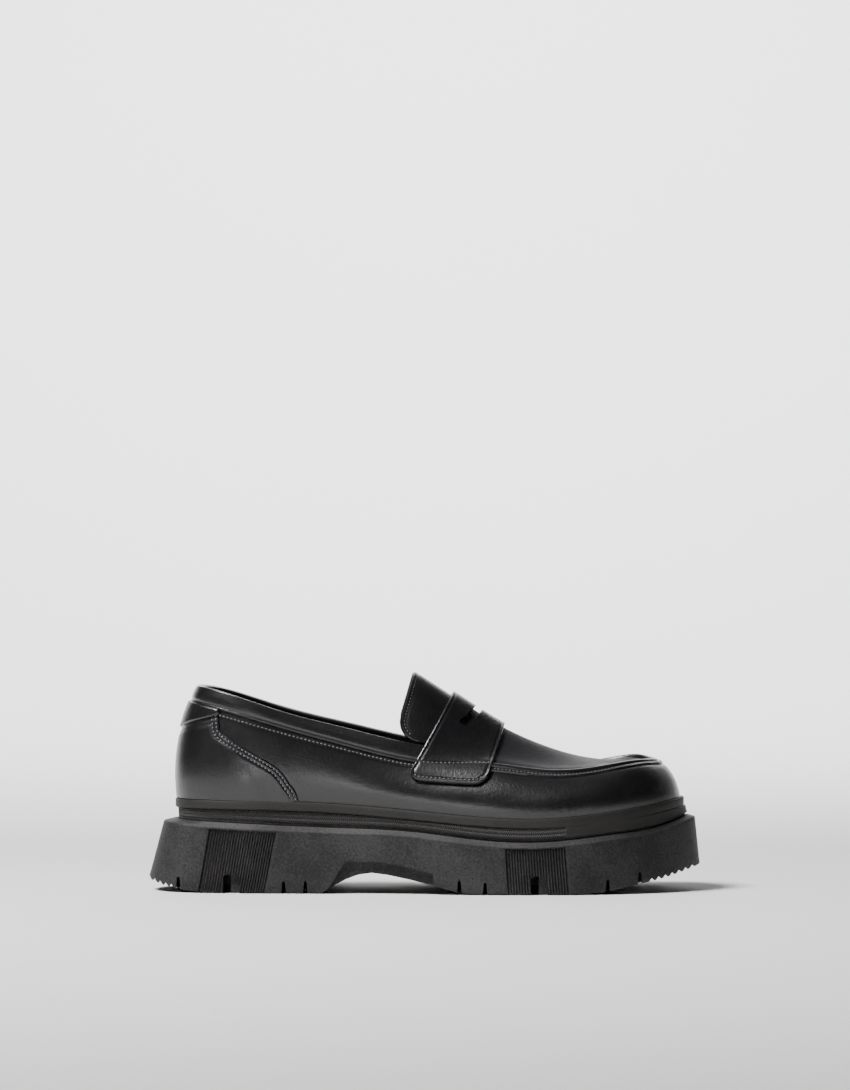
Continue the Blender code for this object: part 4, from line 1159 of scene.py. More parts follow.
def inset_path(
    at: np.ndarray, t: np.ndarray, inward: float, out: float, flip: bool = False
) -> tuple[np.ndarray, np.ndarray]:
    """A path on the leather beside an edge.

    The edge's tangent crossed with the surface normal points across it; the edge is slid that way in
    three short steps.

    Args:
        at: Places along the edge.
        t: Section values along the edge.
        inward: Distance from the edge.
        out: Height over the last's surface.
        flip: Whether inward lies on the tangent's other side.

    Returns:
        The path's points and the normals there.
    """
    for _ in range(3):
        here = LAST.point(at, t)
        run = np.gradient(here, axis=0)
        run /= np.maximum(np.linalg.norm(run, axis=1), 1e-12)[:, None]
        side = np.cross(LAST.normal(at, t), run) * (-1 if flip else 1)
        at, t = LAST.slide(at, t, side * inward / 3)
    return LAST.offset(at, t, out - pressed(LAST.point(at, t))), LAST.normal(at, t)


def round_heel(end: float, columns: int) -> tuple[np.ndarray, np.ndarray]:
    """Columns from end on the outer side round the heel to end on the inner side.

    Args:
        end: The last place on each side.
        columns: How many columns.

    Returns:
        Places, and whether each column is on the inner side.
    """
    share = np.linspace(-1, 1, columns)
    return np.abs(share) * end, share > 0


def both_sides(t: np.ndarray, inner: np.ndarray) -> np.ndarray:
    """Section values counted from the outer side, mirrored where inner."""
    return np.where(inner, 8 - t, t)


@dataclass
class Upper:
    """Quarters and vamp in one: a moccasin apron with its raised seam, the collar, and the lining inside."""

    wall: float = WALL
    roll_height: float = 0.0019
    roll_half: float = 0.0016
    shelf_height: float = 0.0008
    columns: int = 260
    rows: int = 190
    apron_inset: float = 0.0030
    stitch_out: float = 0.0020
    stitch_sink: float = 0.00012

    # Soft troughs and swells beside the seam: distance from it, half width, height
    TROUGHS = (
        (-0.0007, 0.00035, -0.00045),
        (-0.0038, 0.00050, -0.00030),
        (0.0029, 0.00050, -0.00055),
        (-0.0020, 0.00050, -0.00018),
        (0.0065, 0.0030, 0.00035),
    )

    def seam_relief(self, at: np.ndarray, t: np.ndarray) -> np.ndarray:
        """Relief of the apron's seam by distance d from its line, plus towards the crown.

        A half-round roll stands inside, a flat stitched shelf outside, a crease between them and one at
        each foot. It fades out under the strap.

        Args:
            at: Places.
            t: Section values.

        Returns:
            Height over the last's surface.
        """
        d = LAST.past_seam(at, t)
        roll = np.sqrt(np.clip(1 - ((d - 0.0010) / self.roll_half) ** 2, 0, 1)) * self.roll_height
        shelf = self.shelf_height * smooth(d, -0.0036, -0.0029) * (1 - smooth(d, 0.0000, 0.0008))
        relief = np.maximum(roll, shelf)
        for place, width, height in self.TROUGHS:
            relief = relief + height * np.exp(-(((d - place) / width) ** 2))
        start = np.where(t <= 4, SEAM_START[0], SEAM_START[1])
        return relief * smooth(at, start - 0.030, start - 0.006)

    def place_grid(self) -> tuple[np.ndarray, np.ndarray, int]:
        """The skin's grid, cut finely near the seam.

        Returns:
            Places, section values, and the throat's column.
        """
        throat = LAST.place_along(Line.CROWN.value, THROAT)
        behind = int(self.columns * 0.45)
        ahead = np.linspace(throat, 1, self.columns - behind + 1)[1:]
        at = np.concatenate([np.linspace(0, throat, behind), ahead])
        part = self.rows // 2
        low = np.linspace(0, 1.78, int(part * 0.34))[:-1]
        near = np.linspace(1.78, 2.42, int(part * 0.42))[:-1]
        high = np.linspace(2.42, 3.0, int(part * 0.10))[:-1]
        top = np.linspace(3.0, 4.0, part - len(low) - len(near) - len(high))
        half = np.concatenate([low, near, high, top])
        t = np.concatenate([half, 8 - half[-2::-1]])
        shape = (len(t), len(at))
        return np.broadcast_to(at, shape), np.broadcast_to(t[:, None], shape), behind - 1

    def build(self, finishes: Finishes) -> None:
        """The hollow upper: outer skin, lining, and the edges at collar, throat and feather line.

        Args:
            finishes: The shoe's materials.
        """
        at, t, throat = self.place_grid()
        base = LAST.point(at, t)
        lift = self.seam_relief(at, t) - pressed(base)
        outside = LAST.offset(at, t, lift)
        inside = LAST.offset(at, t, -self.wall)
        rows, columns = at.shape
        flat = grid_faces(rows, columns)
        middle = (t[:, 0] >= 3.0) & (t[:, 0] <= 5.0)
        row, column = np.divmod(flat[:, 0], columns)
        in_opening = middle[row] & middle[np.minimum(row + 1, rows - 1)] & (column < throat)
        flat = flat[~in_opening]
        count = rows * columns
        edges = np.concatenate([flat[:, [0, 1]], flat[:, [1, 2]], flat[:, [2, 3]], flat[:, [3, 0]]])
        keys = edges[:, 0].astype(np.int64) * count + edges[:, 1]
        back = edges[:, 1].astype(np.int64) * count + edges[:, 0]
        lone = edges[~np.isin(back, keys)]
        col = lone % columns
        lone = lone[~((col[:, 0] == col[:, 1]) & ((col[:, 0] == 0) | (col[:, 0] == columns - 1)))]
        wall = np.stack([lone[:, 1], lone[:, 0], lone[:, 0] + count, lone[:, 1] + count], -1)
        faces = np.concatenate([flat, flat[:, ::-1] + count, wall])
        within = LAST.past_seam(at, t).ravel()[flat[:, 0]] > self.apron_inset
        # Faces inside the apron take the satin copy, whose lighter, violet base colour is painted sheen.
        apron = np.where(within & (flat[:, 0] % columns >= throat), 2, 0)
        slots = np.concatenate([apron, np.ones(len(flat)), np.zeros(len(wall))])
        points = np.concatenate([outside.reshape(-1, 3), inside.reshape(-1, 3)])
        materials = [finishes.leather, finishes.lining, finishes.satin_painted_sheen]
        piece = mesh_piece("upper_skin", points, faces, materials, slots, merge=4e-6)
        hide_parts("upper")

    def stitch(self, rows: Stitching) -> None:
        """The apron's stitch row, on the shelf outside the roll.

        Args:
            rows: Where the stitches are gathered.
        """
        for inner in (False, True):
            start = SEAM_START[1 if inner else 0] - 0.012
            at = np.linspace(start, 1.0, 500)
            line = np.full(500, 6.0 if inner else 2.0)
            t = LAST.arc_value(at, line, self.stitch_out if inner else -self.stitch_out)
            path = LAST.offset(at, t, self.shelf_height - self.stitch_sink)
            rows.row(path, LAST.normal(at, t), APRON_STITCH)


@dataclass
class CollarBand:
    """The facing strip round the collar, sewn down along its lower edge."""

    thickness: float = 0.0012
    stitch_in: float = 0.0017

    def build(self, finishes: Finishes, rows: Stitching) -> None:
        """The strip, its ends under the strap on both sides, and its stitch row.

        Args:
            finishes: The shoe's materials.
            rows: Where the stitches are gathered.
        """
        v = eased(34, 0.7)[:, None]
        low, high = 2.02, 3.0
        value = low + (high - low) * v
        ends = np.array([LAST.strap_limit(float(t)) + 0.012 for t in value[:, 0]])[:, None]
        share, inner = round_heel(1.0, 380)
        at = share[None] * ends
        t = both_sides(np.broadcast_to(value, at.shape), inner[None])
        piece = LeatherPiece(
            "collar_facing",
            at,
            t,
            self.thickness,
            grooves=((self.stitch_in, 0.00035),),
            puff=0.0007,
            sides=(True, False, False, False),
        ).build(finishes.leather)
        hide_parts("collar_band")
        path, normals = inset_path(at[0], t[0], self.stitch_in, self.thickness + 0.00010)
        rows.row(path, normals, EDGE_STITCH)


def tab_line(at: np.ndarray) -> np.ndarray:
    """The heel tab's lower edge: a crescent that drops below the collar seam towards the heel's middle.

    Args:
        at: Places.

    Returns:
        The section value of the edge at each.
    """
    reach = LAST.place_along(Line.SEAM.value, TAB_REACH)
    drop = TAB_HEIGHT * np.clip(1 - at / reach, 0, 1) ** 0.7
    return 2.0 - 0.06 - drop / ((SEAM[0][2] - BULGE[0][2]) * COLLAR_HEIGHT)


@dataclass
class Counter:
    """The heel counter: a stiff piece round the back, with a hooked front edge and two rows of stitches."""

    thickness: float = 0.0012
    # Distance of each stitch row from the front edge, and its height over the piece
    stitch_rows: tuple[tuple[float, float], ...] = ((0.0016, 0.00008), (0.0038, 0.00035))
    groove_depth: float = 0.00042

    def edge(self) -> tuple[np.ndarray, np.ndarray]:
        """Places and section values of the front edge, from the tab down to the rim.

        Returns:
            Places and section values along the edge.
        """
        places, values = [], []
        for along, share in COUNTER_EDGE:
            t = 1.0
            for _ in range(4):
                at = LAST.place_along(t, along)
                low, high = LAST.point(np.array([at, at]), np.array([COUNTER_FOOT, 2.0]))[:, 2]
                tries = np.linspace(0, 2.05, 200)
                heights = LAST.point(np.full(200, at), tries)[:, 2]
                t = float(np.interp(low + (high - low) * share, heights, tries))
            places.append(at)
            values.append(t)
        places[-1], values[-1] = places[-1] + 0.001, COUNTER_FOOT + 0.004
        share = np.linspace(0, 1, 240)
        pairs = cubic(np.linspace(0, 1, len(places)), np.column_stack([places, values]), share)
        return np.maximum.accumulate(pairs[:, 0]), pairs[:, 1]

    def build(self, finishes: Finishes, rows: Stitching) -> None:
        """The counter between the rim and its top edge, and both stitch rows.

        Args:
            finishes: The shoe's materials.
            rows: Where the stitches are gathered.
        """
        edge_at, edge_t = self.edge()
        front = np.interp(np.linspace(0, 1, 110), np.linspace(0, 1, len(edge_at)), edge_at)
        half = np.concatenate([np.linspace(0, edge_at[0], 40)[:-1], front])
        at = np.concatenate([half[:0:-1], half])
        inner = np.arange(len(at)) >= len(half) - 1
        cap = np.interp(at, edge_at, edge_t)
        top = np.minimum(cap, tab_line(at) + 0.01)
        v = eased(46, 0.5)[:, None]
        t = both_sides(COUNTER_FOOT - 0.06 + (top - COUNTER_FOOT + 0.06) * v, inner)
        piece = LeatherPiece(
            "heel_counter_skin",
            np.broadcast_to(at, t.shape),
            t,
            self.thickness,
            roundness=0.0012,
            grooves=tuple((inward, self.groove_depth) for inward, _ in self.stitch_rows),
            puff=0.0005,
            sides=(False, False, True, False),
        ).build(finishes.leather)
        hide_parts("heel_counter")
        for is_inner in (False, True):
            line_t = 8 - edge_t if is_inner else edge_t
            for inward, height in self.stitch_rows:
                out = self.thickness + height
                path, normals = inset_path(edge_at, line_t, inward, out, flip=not is_inner)
                rows.row(path, normals, COUNTER_STITCH)


@dataclass
class HeelTab:
    """The crescent over the back seam."""

    thickness: float = 0.0013
    low: float = 0.0011

    def build(self, finishes: Finishes) -> None:
        """The crescent between its lower edge and the collar band.

        Args:
            finishes: The shoe's materials.
        """
        reach = LAST.place_along(Line.SEAM.value, TAB_REACH) + 0.004
        at, inner = round_heel(reach, 90)
        low = tab_line(at)
        v = eased(22, 0.6)[:, None]
        t = both_sides(low + (2.06 - low) * v, inner)
        piece = LeatherPiece(
            "heel_tab_skin",
            np.broadcast_to(at, t.shape),
            t,
            self.thickness,
            low=self.low,
        ).build(finishes.leather)
        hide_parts("heel_tab")


@dataclass
class CollarBinding:
    """The bound top edge of the collar: a soft bead folded over both faces of the wall."""

    half_width: float = 0.0020
    half_height: float = 0.0010
    rise: float = 0.0004
    power: float = 2.6

    def build(self, finishes: Finishes) -> None:
        """A rounded section, a superellipse of power 2.6, carried along the topline from strap to strap.

        Args:
            finishes: The shoe's materials.
        """
        at, inner = round_heel(LAST.strap_limit(Line.TOPLINE.value) + 0.012, 420)
        t = np.where(inner, 5.0, 3.0)
        edge, out = LAST.point(at, t), LAST.normal(at, t)
        inward = np.where(inner, -1.0, 1.0) * 0.03
        up = LAST.point(at, t + inward) - edge
        up /= np.linalg.norm(up, axis=1)[:, None]
        turn = np.linspace(0, 2 * np.pi, 22, endpoint=False)
        c, s = np.cos(turn), np.sin(turn)
        wide = np.sign(c) * np.abs(c) ** (2 / self.power) * self.half_width
        tall = np.sign(s) * np.abs(s) ** (2 / self.power) * self.half_height
        centre = edge + up * self.rise - out * 0.0002
        points = centre[None] + out[None] * wide[:, None, None] + up[None] * tall[:, None, None]
        faces = grid_faces(len(turn), len(at), round_rows=True)
        ring = np.arange(len(turn)) * len(at)
        caps = np.array([[ring[0], ring[i], ring[i + 1], ring[i + 1]] for i in range(1, len(turn) - 1)])
        faces = np.concatenate([faces, caps, caps[:, ::-1] + len(at) - 1])
        piece = mesh_piece("collar_edge", points, faces, [finishes.leather])
        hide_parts("collar_binding")


def rounded_ends(path: np.ndarray, radius: float) -> np.ndarray:
    """How far an edge draws in at each point of path, to round a corner of that radius at both ends.

    Args:
        path: The edge's points.
        radius: The corners' radius.

    Returns:
        A length for each point.
    """
    steps = np.linalg.norm(np.diff(path, axis=0), axis=1)
    travelled = np.concatenate([[0], np.cumsum(steps)])
    short = np.clip(radius - np.minimum(travelled, travelled[-1] - travelled), 0, None)
    return radius - np.sqrt(np.maximum(radius**2 - short**2, 0))


@dataclass
class Tongue:
    """The tongue: it runs on from the apron under the strap and stands up with a turned, stitched edge."""

    thickness: float = 0.0030
    corner: float = TONGUE_CORNER

    def build(self, finishes: Finishes, rows: Stitching) -> None:
        """A padded slab from the throat to its rounded rear edge, with a stitch row inside the edge.

        Args:
            finishes: The shoe's materials.
            rows: Where the stitches are gathered.
        """
        climb = np.concatenate([np.linspace(0.05, 0.45, 30)[:-1], np.linspace(0.45, 1.0, 32)])
        t = np.concatenate([3 + climb, 5 - climb[-2::-1]])
        rear = LAST.edge_places(t, TONGUE_REAR)
        rear = rear + rounded_ends(LAST.point(rear, t), self.corner) / LAST.half_length
        throat = LAST.place_along(Line.CROWN.value, THROAT) + 0.010
        share = 1 - np.linspace(1, 0, 60) ** 1.6
        at = rear[:, None] + (throat - rear[:, None]) * share
        tt = np.broadcast_to(t[:, None], at.shape)
        base = LAST.point(at, tt)
        away = edge_distance(base, *rim_of(base, (True, False, True, True)))
        half = self.thickness / 2
        bulge = half * np.sqrt(1 - (1 - np.clip(away / half, 0, 1)) ** 2)
        groove = 0.00030 * np.exp(-(((away - 0.0030) / 0.0007) ** 2))
        middle = -0.0002 - half
        top = LAST.offset(at, tt, middle + bulge - groove)
        under = LAST.offset(at, tt, middle - bulge)
        points = np.concatenate([top.reshape(-1, 3), under.reshape(-1, 3)])
        piece = mesh_piece("tongue_skin", points, slab_faces(*at.shape), [finishes.leather], merge=1e-6)
        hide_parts("tongue")
        path, normals = inset_path(rear, t, 0.0026, -0.00045, flip=True)
        rows.row(path[2:-2], normals[2:-2], TONGUE_STITCH)


@dataclass
class SaddleStrap:
    """The strap over the instep with its cut slot, sewn down by a rounded tab on each side."""

    thickness: float = 0.0021
    low: float = 0.00055
    corner: float = STRAP_CORNER
    slot_reach: float = 0.0215
    slot_middle: float = 0.0045
    slot_end: float = 0.0066
    stitch_in: float = 0.0020

    def grid(self) -> tuple[np.ndarray, np.ndarray, np.ndarray, np.ndarray]:
        """Places and section values of the strap, and its rear and front edges' places.

        Returns:
            The two grids, then the rear and the front edge's places.
        """
        tab = np.linspace(STRAP_END, STRAP_END + 0.3, 34)[:-1]
        half = np.concatenate([tab, np.linspace(STRAP_END + 0.3, 4.0, 96)])
        t = np.concatenate([half, 8 - half[-2::-1]])
        rear, front = LAST.edge_places(t, STRAP_REAR), LAST.edge_places(t, STRAP_FRONT)
        inset = rounded_ends(LAST.point((rear + front) / 2, t), self.corner)
        width = np.linalg.norm(LAST.point(front, t) - LAST.point(rear, t), axis=1)
        trim = inset / width * (front - rear)
        rear, front = rear + trim, front - trim
        at = rear[:, None] + (front - rear)[:, None] * eased(64, 0.45)
        return at, np.broadcast_to(t[:, None], at.shape), rear, front

    def lift(self, at: np.ndarray, t: np.ndarray) -> np.ndarray:
        """The strap's swell where it passes over the apron's seam, fading towards its rear edge.

        Args:
            at: Places.
            t: Section values.

        Returns:
            Height to add to the strap.
        """
        d = LAST.past_seam(at, t)
        start = np.where(t <= 4, SEAM_START[0], SEAM_START[1])
        over_seam = 0.0007 * np.exp(-(((d + 0.0003) / 0.0042) ** 2)) * smooth(at, start - 0.06, start)
        puff = 0.0004 * np.exp(-(((d + 0.0055) / 0.0036) ** 2))
        return over_seam + puff - 0.00035 * np.exp(-(((d - 0.0004) / 0.0006) ** 2))

    def build(self, finishes: Finishes, rows: Stitching) -> None:
        """The strap with its slot cut by a Boolean, and four stitch rows.

        Args:
            finishes: The shoe's materials.
            rows: Where the stitches are gathered.
        """
        at, t, rear, front = self.grid()
        piece = LeatherPiece(
            "saddle_strap_skin",
            at,
            t,
            self.thickness,
            roundness=0.0007,
            low=self.low,
            grooves=((self.stitch_in, 0.00030),),
            extra=self.lift,
        ).build(finishes.leather)
        self.cut_slot(piece, rear, front, t[:, 0])
        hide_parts("saddle_strap")
        self.stitch(rows, at, t)

    def cut_slot(
        self, piece: bpy.types.Object, rear: np.ndarray, front: np.ndarray, t: np.ndarray
    ) -> None:
        """Cuts the slot: a bow tie across the foot, narrow over the crown, with its ends cut square.

        Args:
            piece: The strap's object.
            rear: The rear edge's places.
            front: The front edge's places.
            t: Their section values.
        """
        middle = len(t) // 2
        a, b = LAST.point(rear[middle], 4.0), LAST.point(front[middle], 4.0)
        forward = (b - a) / np.linalg.norm(b - a)
        side = np.array([0.0, 1.0, 0.0])
        up = np.cross(forward, side)
        y = np.linspace(-1, 1, 9)
        half = (self.slot_middle + (self.slot_end - self.slot_middle) * y**2) / 2
        lean = -0.0030 * y**2
        ahead = np.column_stack([lean + half, y])[::-1]
        outline = np.concatenate([np.column_stack([lean - half, y]), ahead])
        plan = (a + b) / 2 + outline[:, :1] * forward + outline[:, 1:] * side * self.slot_reach
        points = np.concatenate([plan - up * 0.03, plan + up * 0.03])
        count = len(plan)
        mesh = bpy.data.meshes.new("slot_cutter")
        ends = [tuple(range(count))[::-1], tuple(range(count, 2 * count))]
        mesh.from_pydata(points.tolist(), [], ends + side_walls(count))
        cut_with(piece, mesh)

    def stitch(self, rows: Stitching, at: np.ndarray, t: np.ndarray) -> None:
        """On each side, a row across the strap above the tab and one round inside the tab's edge.

        Args:
            rows: Where the stitches are gathered.
            at: The grid's places.
            t: The grid's section values.
        """
        height = self.low + self.thickness
        for inner in (False, True):
            ring_at, ring_t = self.tab_ring(at, inner), self.tab_ring(t, inner)
            path, normals = inset_path(ring_at, ring_t, self.stitch_in, height + 0.00002, flip=inner)
            rows.row(path, normals, EDGE_STITCH)
            up = 5.98 if inner else 2.02
            across_t = np.full(80, up)
            start = LAST.edge_place(up, STRAP_REAR)
            end = LAST.edge_place(up, STRAP_FRONT)
            across_at = np.linspace(start + 0.004, end - 0.004, 80)
            lift = self.lift(across_at, across_t)
            across = LAST.offset(across_at, across_t, height + lift + 0.00002)
            rows.row(across, LAST.normal(across_at, across_t), EDGE_STITCH)

    @staticmethod
    def tab_ring(grid: np.ndarray, inner: bool) -> np.ndarray:
        """A grid's values round one tab: down its rear edge, along its end and up its front edge."""
        if inner:
            return np.concatenate([grid[-16:, 0], grid[-1, 1:], grid[-2:-17:-1, -1]])
        return np.concatenate([grid[:16, 0][::-1], grid[0, 1:], grid[1:16, -1]])


def side_walls(count: int) -> list[tuple[int, int, int, int]]:
    """The quads between two outlines of count points, the second listed after the first."""
    return [(i, (i + 1) % count, (i + 1) % count + count, i + count) for i in range(count)]


def cut_with(piece: bpy.types.Object, *cutters: bpy.types.Mesh) -> None:
    """Subtracts closed meshes from a piece, one after the other, and bakes the result.

    Args:
        piece: The object whose mesh is cut.
        cutters: Closed meshes; each is used up.
    """
    for mesh in cutters:
        work = bmesh.new()
        work.from_mesh(mesh)
        bmesh.ops.recalc_face_normals(work, faces=work.faces)
        work.to_mesh(mesh)
        work.free()
        cutter = bpy.data.objects.new("cutter", mesh)
        bpy.context.scene.collection.objects.link(cutter)
        modifier = piece.modifiers.new("cut", "BOOLEAN")
        modifier.operation = "DIFFERENCE"
        modifier.object = cutter
        modifier.solver = "EXACT"
        modifier.material_mode = "TRANSFER"
        baked = bpy.data.meshes.new_from_object(piece.evaluated_get(bpy.context.evaluated_depsgraph_get()))
        piece.modifiers.clear()
        old = piece.data
        piece.data = baked
        bpy.data.meshes.remove(old)
        bpy.data.objects.remove(cutter)
    piece.data.set_sharp_from_angle(angle=math.radians(38))


def prism(outline: Sequence[tuple[float, float]], low: object, high: object) -> bpy.types.Mesh:
    """A side-view outline of x and z, carried across the foot from y low to y high.

    Args:
        outline: Corners as x and z, before the shift.
        low: One y, or one for each corner.
        high: One y, or one for each corner.

    Returns:
        A closed mesh.
    """
    count = len(outline)
    x, z = np.array(outline).T
    ends = [np.column_stack([x, np.broadcast_to(y, count), z]) for y in (low, high)]
    points = np.concatenate(ends) - LAST.shift
    mesh = bpy.data.meshes.new("prism")
    caps = [tuple(range(count)), tuple(range(2 * count - 1, count - 1, -1))]
    mesh.from_pydata(points.tolist(), [], caps + side_walls(count))
    return mesh


@dataclass
class Insole:
    """The footbed: a padded sock, dished a little under the heel."""

    thickness: float = 0.0045
    inset: float = 0.0024
    gap: float = 0.0003

    def build(self, finishes: Finishes) -> None:
        """Rings from the outline inwards; the height is the thickness less a dish in the middle.

        Args:
            finishes: The shoe's materials.
        """
        loop = np.linspace(0, 2, 160, endpoint=False)
        shares = np.array([0.0, 0.0, 0.02, 0.06, 0.2, 0.4, 0.6, 0.8, 1.0])
        lift = np.array([0.0, 0.6, 0.9, 1.0, 0.97, 0.92, 0.88, 0.86, 0.85]) * self.thickness
        outer, _ = LAST.outline(loop, (-self.inset,) * 3)
        mirror, _ = LAST.outline(np.mod(2 - loop, 2), (-self.inset,) * 3)
        spine = (outer + mirror) / 2
        rings = []
        for share, height in zip(shares, lift):
            plan = outer * (1 - share) + spine * share
            z = feather_height(plan[:, 0] / UPPER_LENGTH) + self.gap + height
            rings.append(np.column_stack([plan, z]) - LAST.shift)
        under = rings[0].copy()
        low = feather_height(spine[:, 0] / UPPER_LENGTH) + self.gap
        floor = np.column_stack([spine, low]) - LAST.shift
        points = np.stack([floor, under, *rings[1:]])
        faces = grid_faces(len(points), len(loop), round_columns=True)
        piece = mesh_piece("footbed", points, faces, [finishes.lining], merge=1e-5)
        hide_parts("insole")


@dataclass
class Midsole:
    """The moulded midsole: a knurled band under a rim that hugs the foot of the upper."""

    columns: int = 700
    groove: float = 0.0011
    groove_depth: float = 0.0014
    heel_recess: float = 0.0014
    recess_loss: float = 0.0011
    knurl_end: float = 0.765
    clearance: float = 0.00006

    # The rings between which the knurled band lies
    KNURL_FIRST = 4
    KNURL_LAST = 6

    def recess(self, along: np.ndarray) -> np.ndarray:
        """How far the band lies behind the rim: deepest at the heel, none past the knurl's front end."""
        depth = self.heel_recess - self.recess_loss * np.clip(along / self.knurl_end, 0, 1)
        return depth * (1 - smooth(along, self.knurl_end - 0.002, self.knurl_end + 0.002))

    def build(self, finishes: Finishes) -> None:
        """Rings of the profile from the groove at its foot to the rim's top, with the knurled rows apart.

        Args:
            finishes: The shoe's materials.
        """
        loop = np.linspace(0, 2, self.columns, endpoint=False)
        plan0, normal = LAST.outline(loop)
        nx = normal[:, 0]
        foot, lip = blend_round(nx, MIDSOLE_FOOT), blend_round(nx, RIM_LIP)
        along0 = plan0[:, 0] / UPPER_LENGTH
        deep = self.recess(along0)

        def ring(out: np.ndarray, height: Callable[[np.ndarray], np.ndarray]) -> np.ndarray:
            """One ring at a distance out from the feather edge."""
            plan = plan0 + normal * out[:, None]
            return np.column_stack([plan, height(plan[:, 0] / UPPER_LENGTH)]) - LAST.shift

        def at_share(share: float) -> Callable[[np.ndarray], np.ndarray]:
            """Height at a share of the way from the seat to the rim's underside."""
            return lambda a: seat_height(a) * (1 - share) + (feather_height(a) + 0.0004) * share

        body = foot * 0.5 + lip * 0.5
        rings = [
            ring(foot - 0.006, seat_height),
            ring(foot - self.groove_depth, seat_height),
            ring(foot - self.groove_depth, lambda a: seat_height(a) + self.groove),
            ring(foot - deep - 0.0003, lambda a: seat_height(a) + self.groove),
            ring(foot - deep, lambda a: seat_height(a) + self.groove + 0.0004),
            ring(foot * 0.75 + lip * 0.25 - deep, at_share(0.45)),
            ring(body - deep, at_share(0.97)),
            ring(body - deep * 1.25 - 0.0002, at_share(1.0)),
            ring(lip - 0.0004 * (deep > 0), lambda a: feather_height(a) + 0.0006),
            ring(lip, lambda a: feather_height(a) + 0.0011),
            ring(lip, lambda a: rim_height(a) - 0.0012),
            ring(lip - 0.0003, lambda a: rim_height(a) - 0.0004),
            ring(lip - 0.0010, rim_height),
        ]
        side = loop > 1
        at = np.where(side, 2 - loop, loop)
        tries = np.linspace(0, 0.8, 60)
        heights = LAST.point(at[:, None], np.where(side[:, None], 8 - tries, tries))[..., 2]
        goal = rim_height(along0)
        t_rim = np.array([np.interp(g - 0.0003, h, tries) for g, h in zip(goal, heights)])
        rings.append(LAST.offset(at, np.where(side, 8 - t_rim, t_rim), self.clearance))
        rings.append(LAST.offset(at, np.where(side, 8.0, 0.0), self.clearance))
        rings.append(ring(-0.010 + 0 * foot, feather_height))
        points = np.stack(rings)
        faces = grid_faces(len(rings), len(loop), round_columns=True)
        slots = np.zeros(len(faces))
        row, column = np.divmod(faces[:, 0], len(loop))
        in_band = (row >= self.KNURL_FIRST) & (row < self.KNURL_LAST)
        slots[in_band & (along0[column] < self.knurl_end)] = 1
        slots[row < self.KNURL_FIRST] = 2
        caps = self.caps(len(loop))
        faces = np.concatenate([faces, caps, caps[:, ::-1] + (len(rings) - 1) * len(loop)])
        slots = np.concatenate([slots, np.full(2 * len(caps), 2)])
        lowest = points[self.KNURL_FIRST]
        run = np.concatenate([[0], np.cumsum(np.linalg.norm(np.diff(lowest, axis=0), axis=1))])
        rise = points[..., 2] - lowest[:, 2]
        uv = np.stack([np.broadcast_to(run, rise.shape), rise], -1)
        materials = [finishes.rim, finishes.knurl, finishes.rubber]
        piece = mesh_piece("midsole_band", points, faces, materials, slots, uv, merge=1e-7, sharp=35)
        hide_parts("midsole")

    @staticmethod
    def caps(count: int) -> np.ndarray:
        """Strips across the foot that close a ring of an even number of points."""
        i = np.arange(count // 2)
        return np.stack([i, i + 1, (count - i - 1) % count, (count - i) % count], -1)


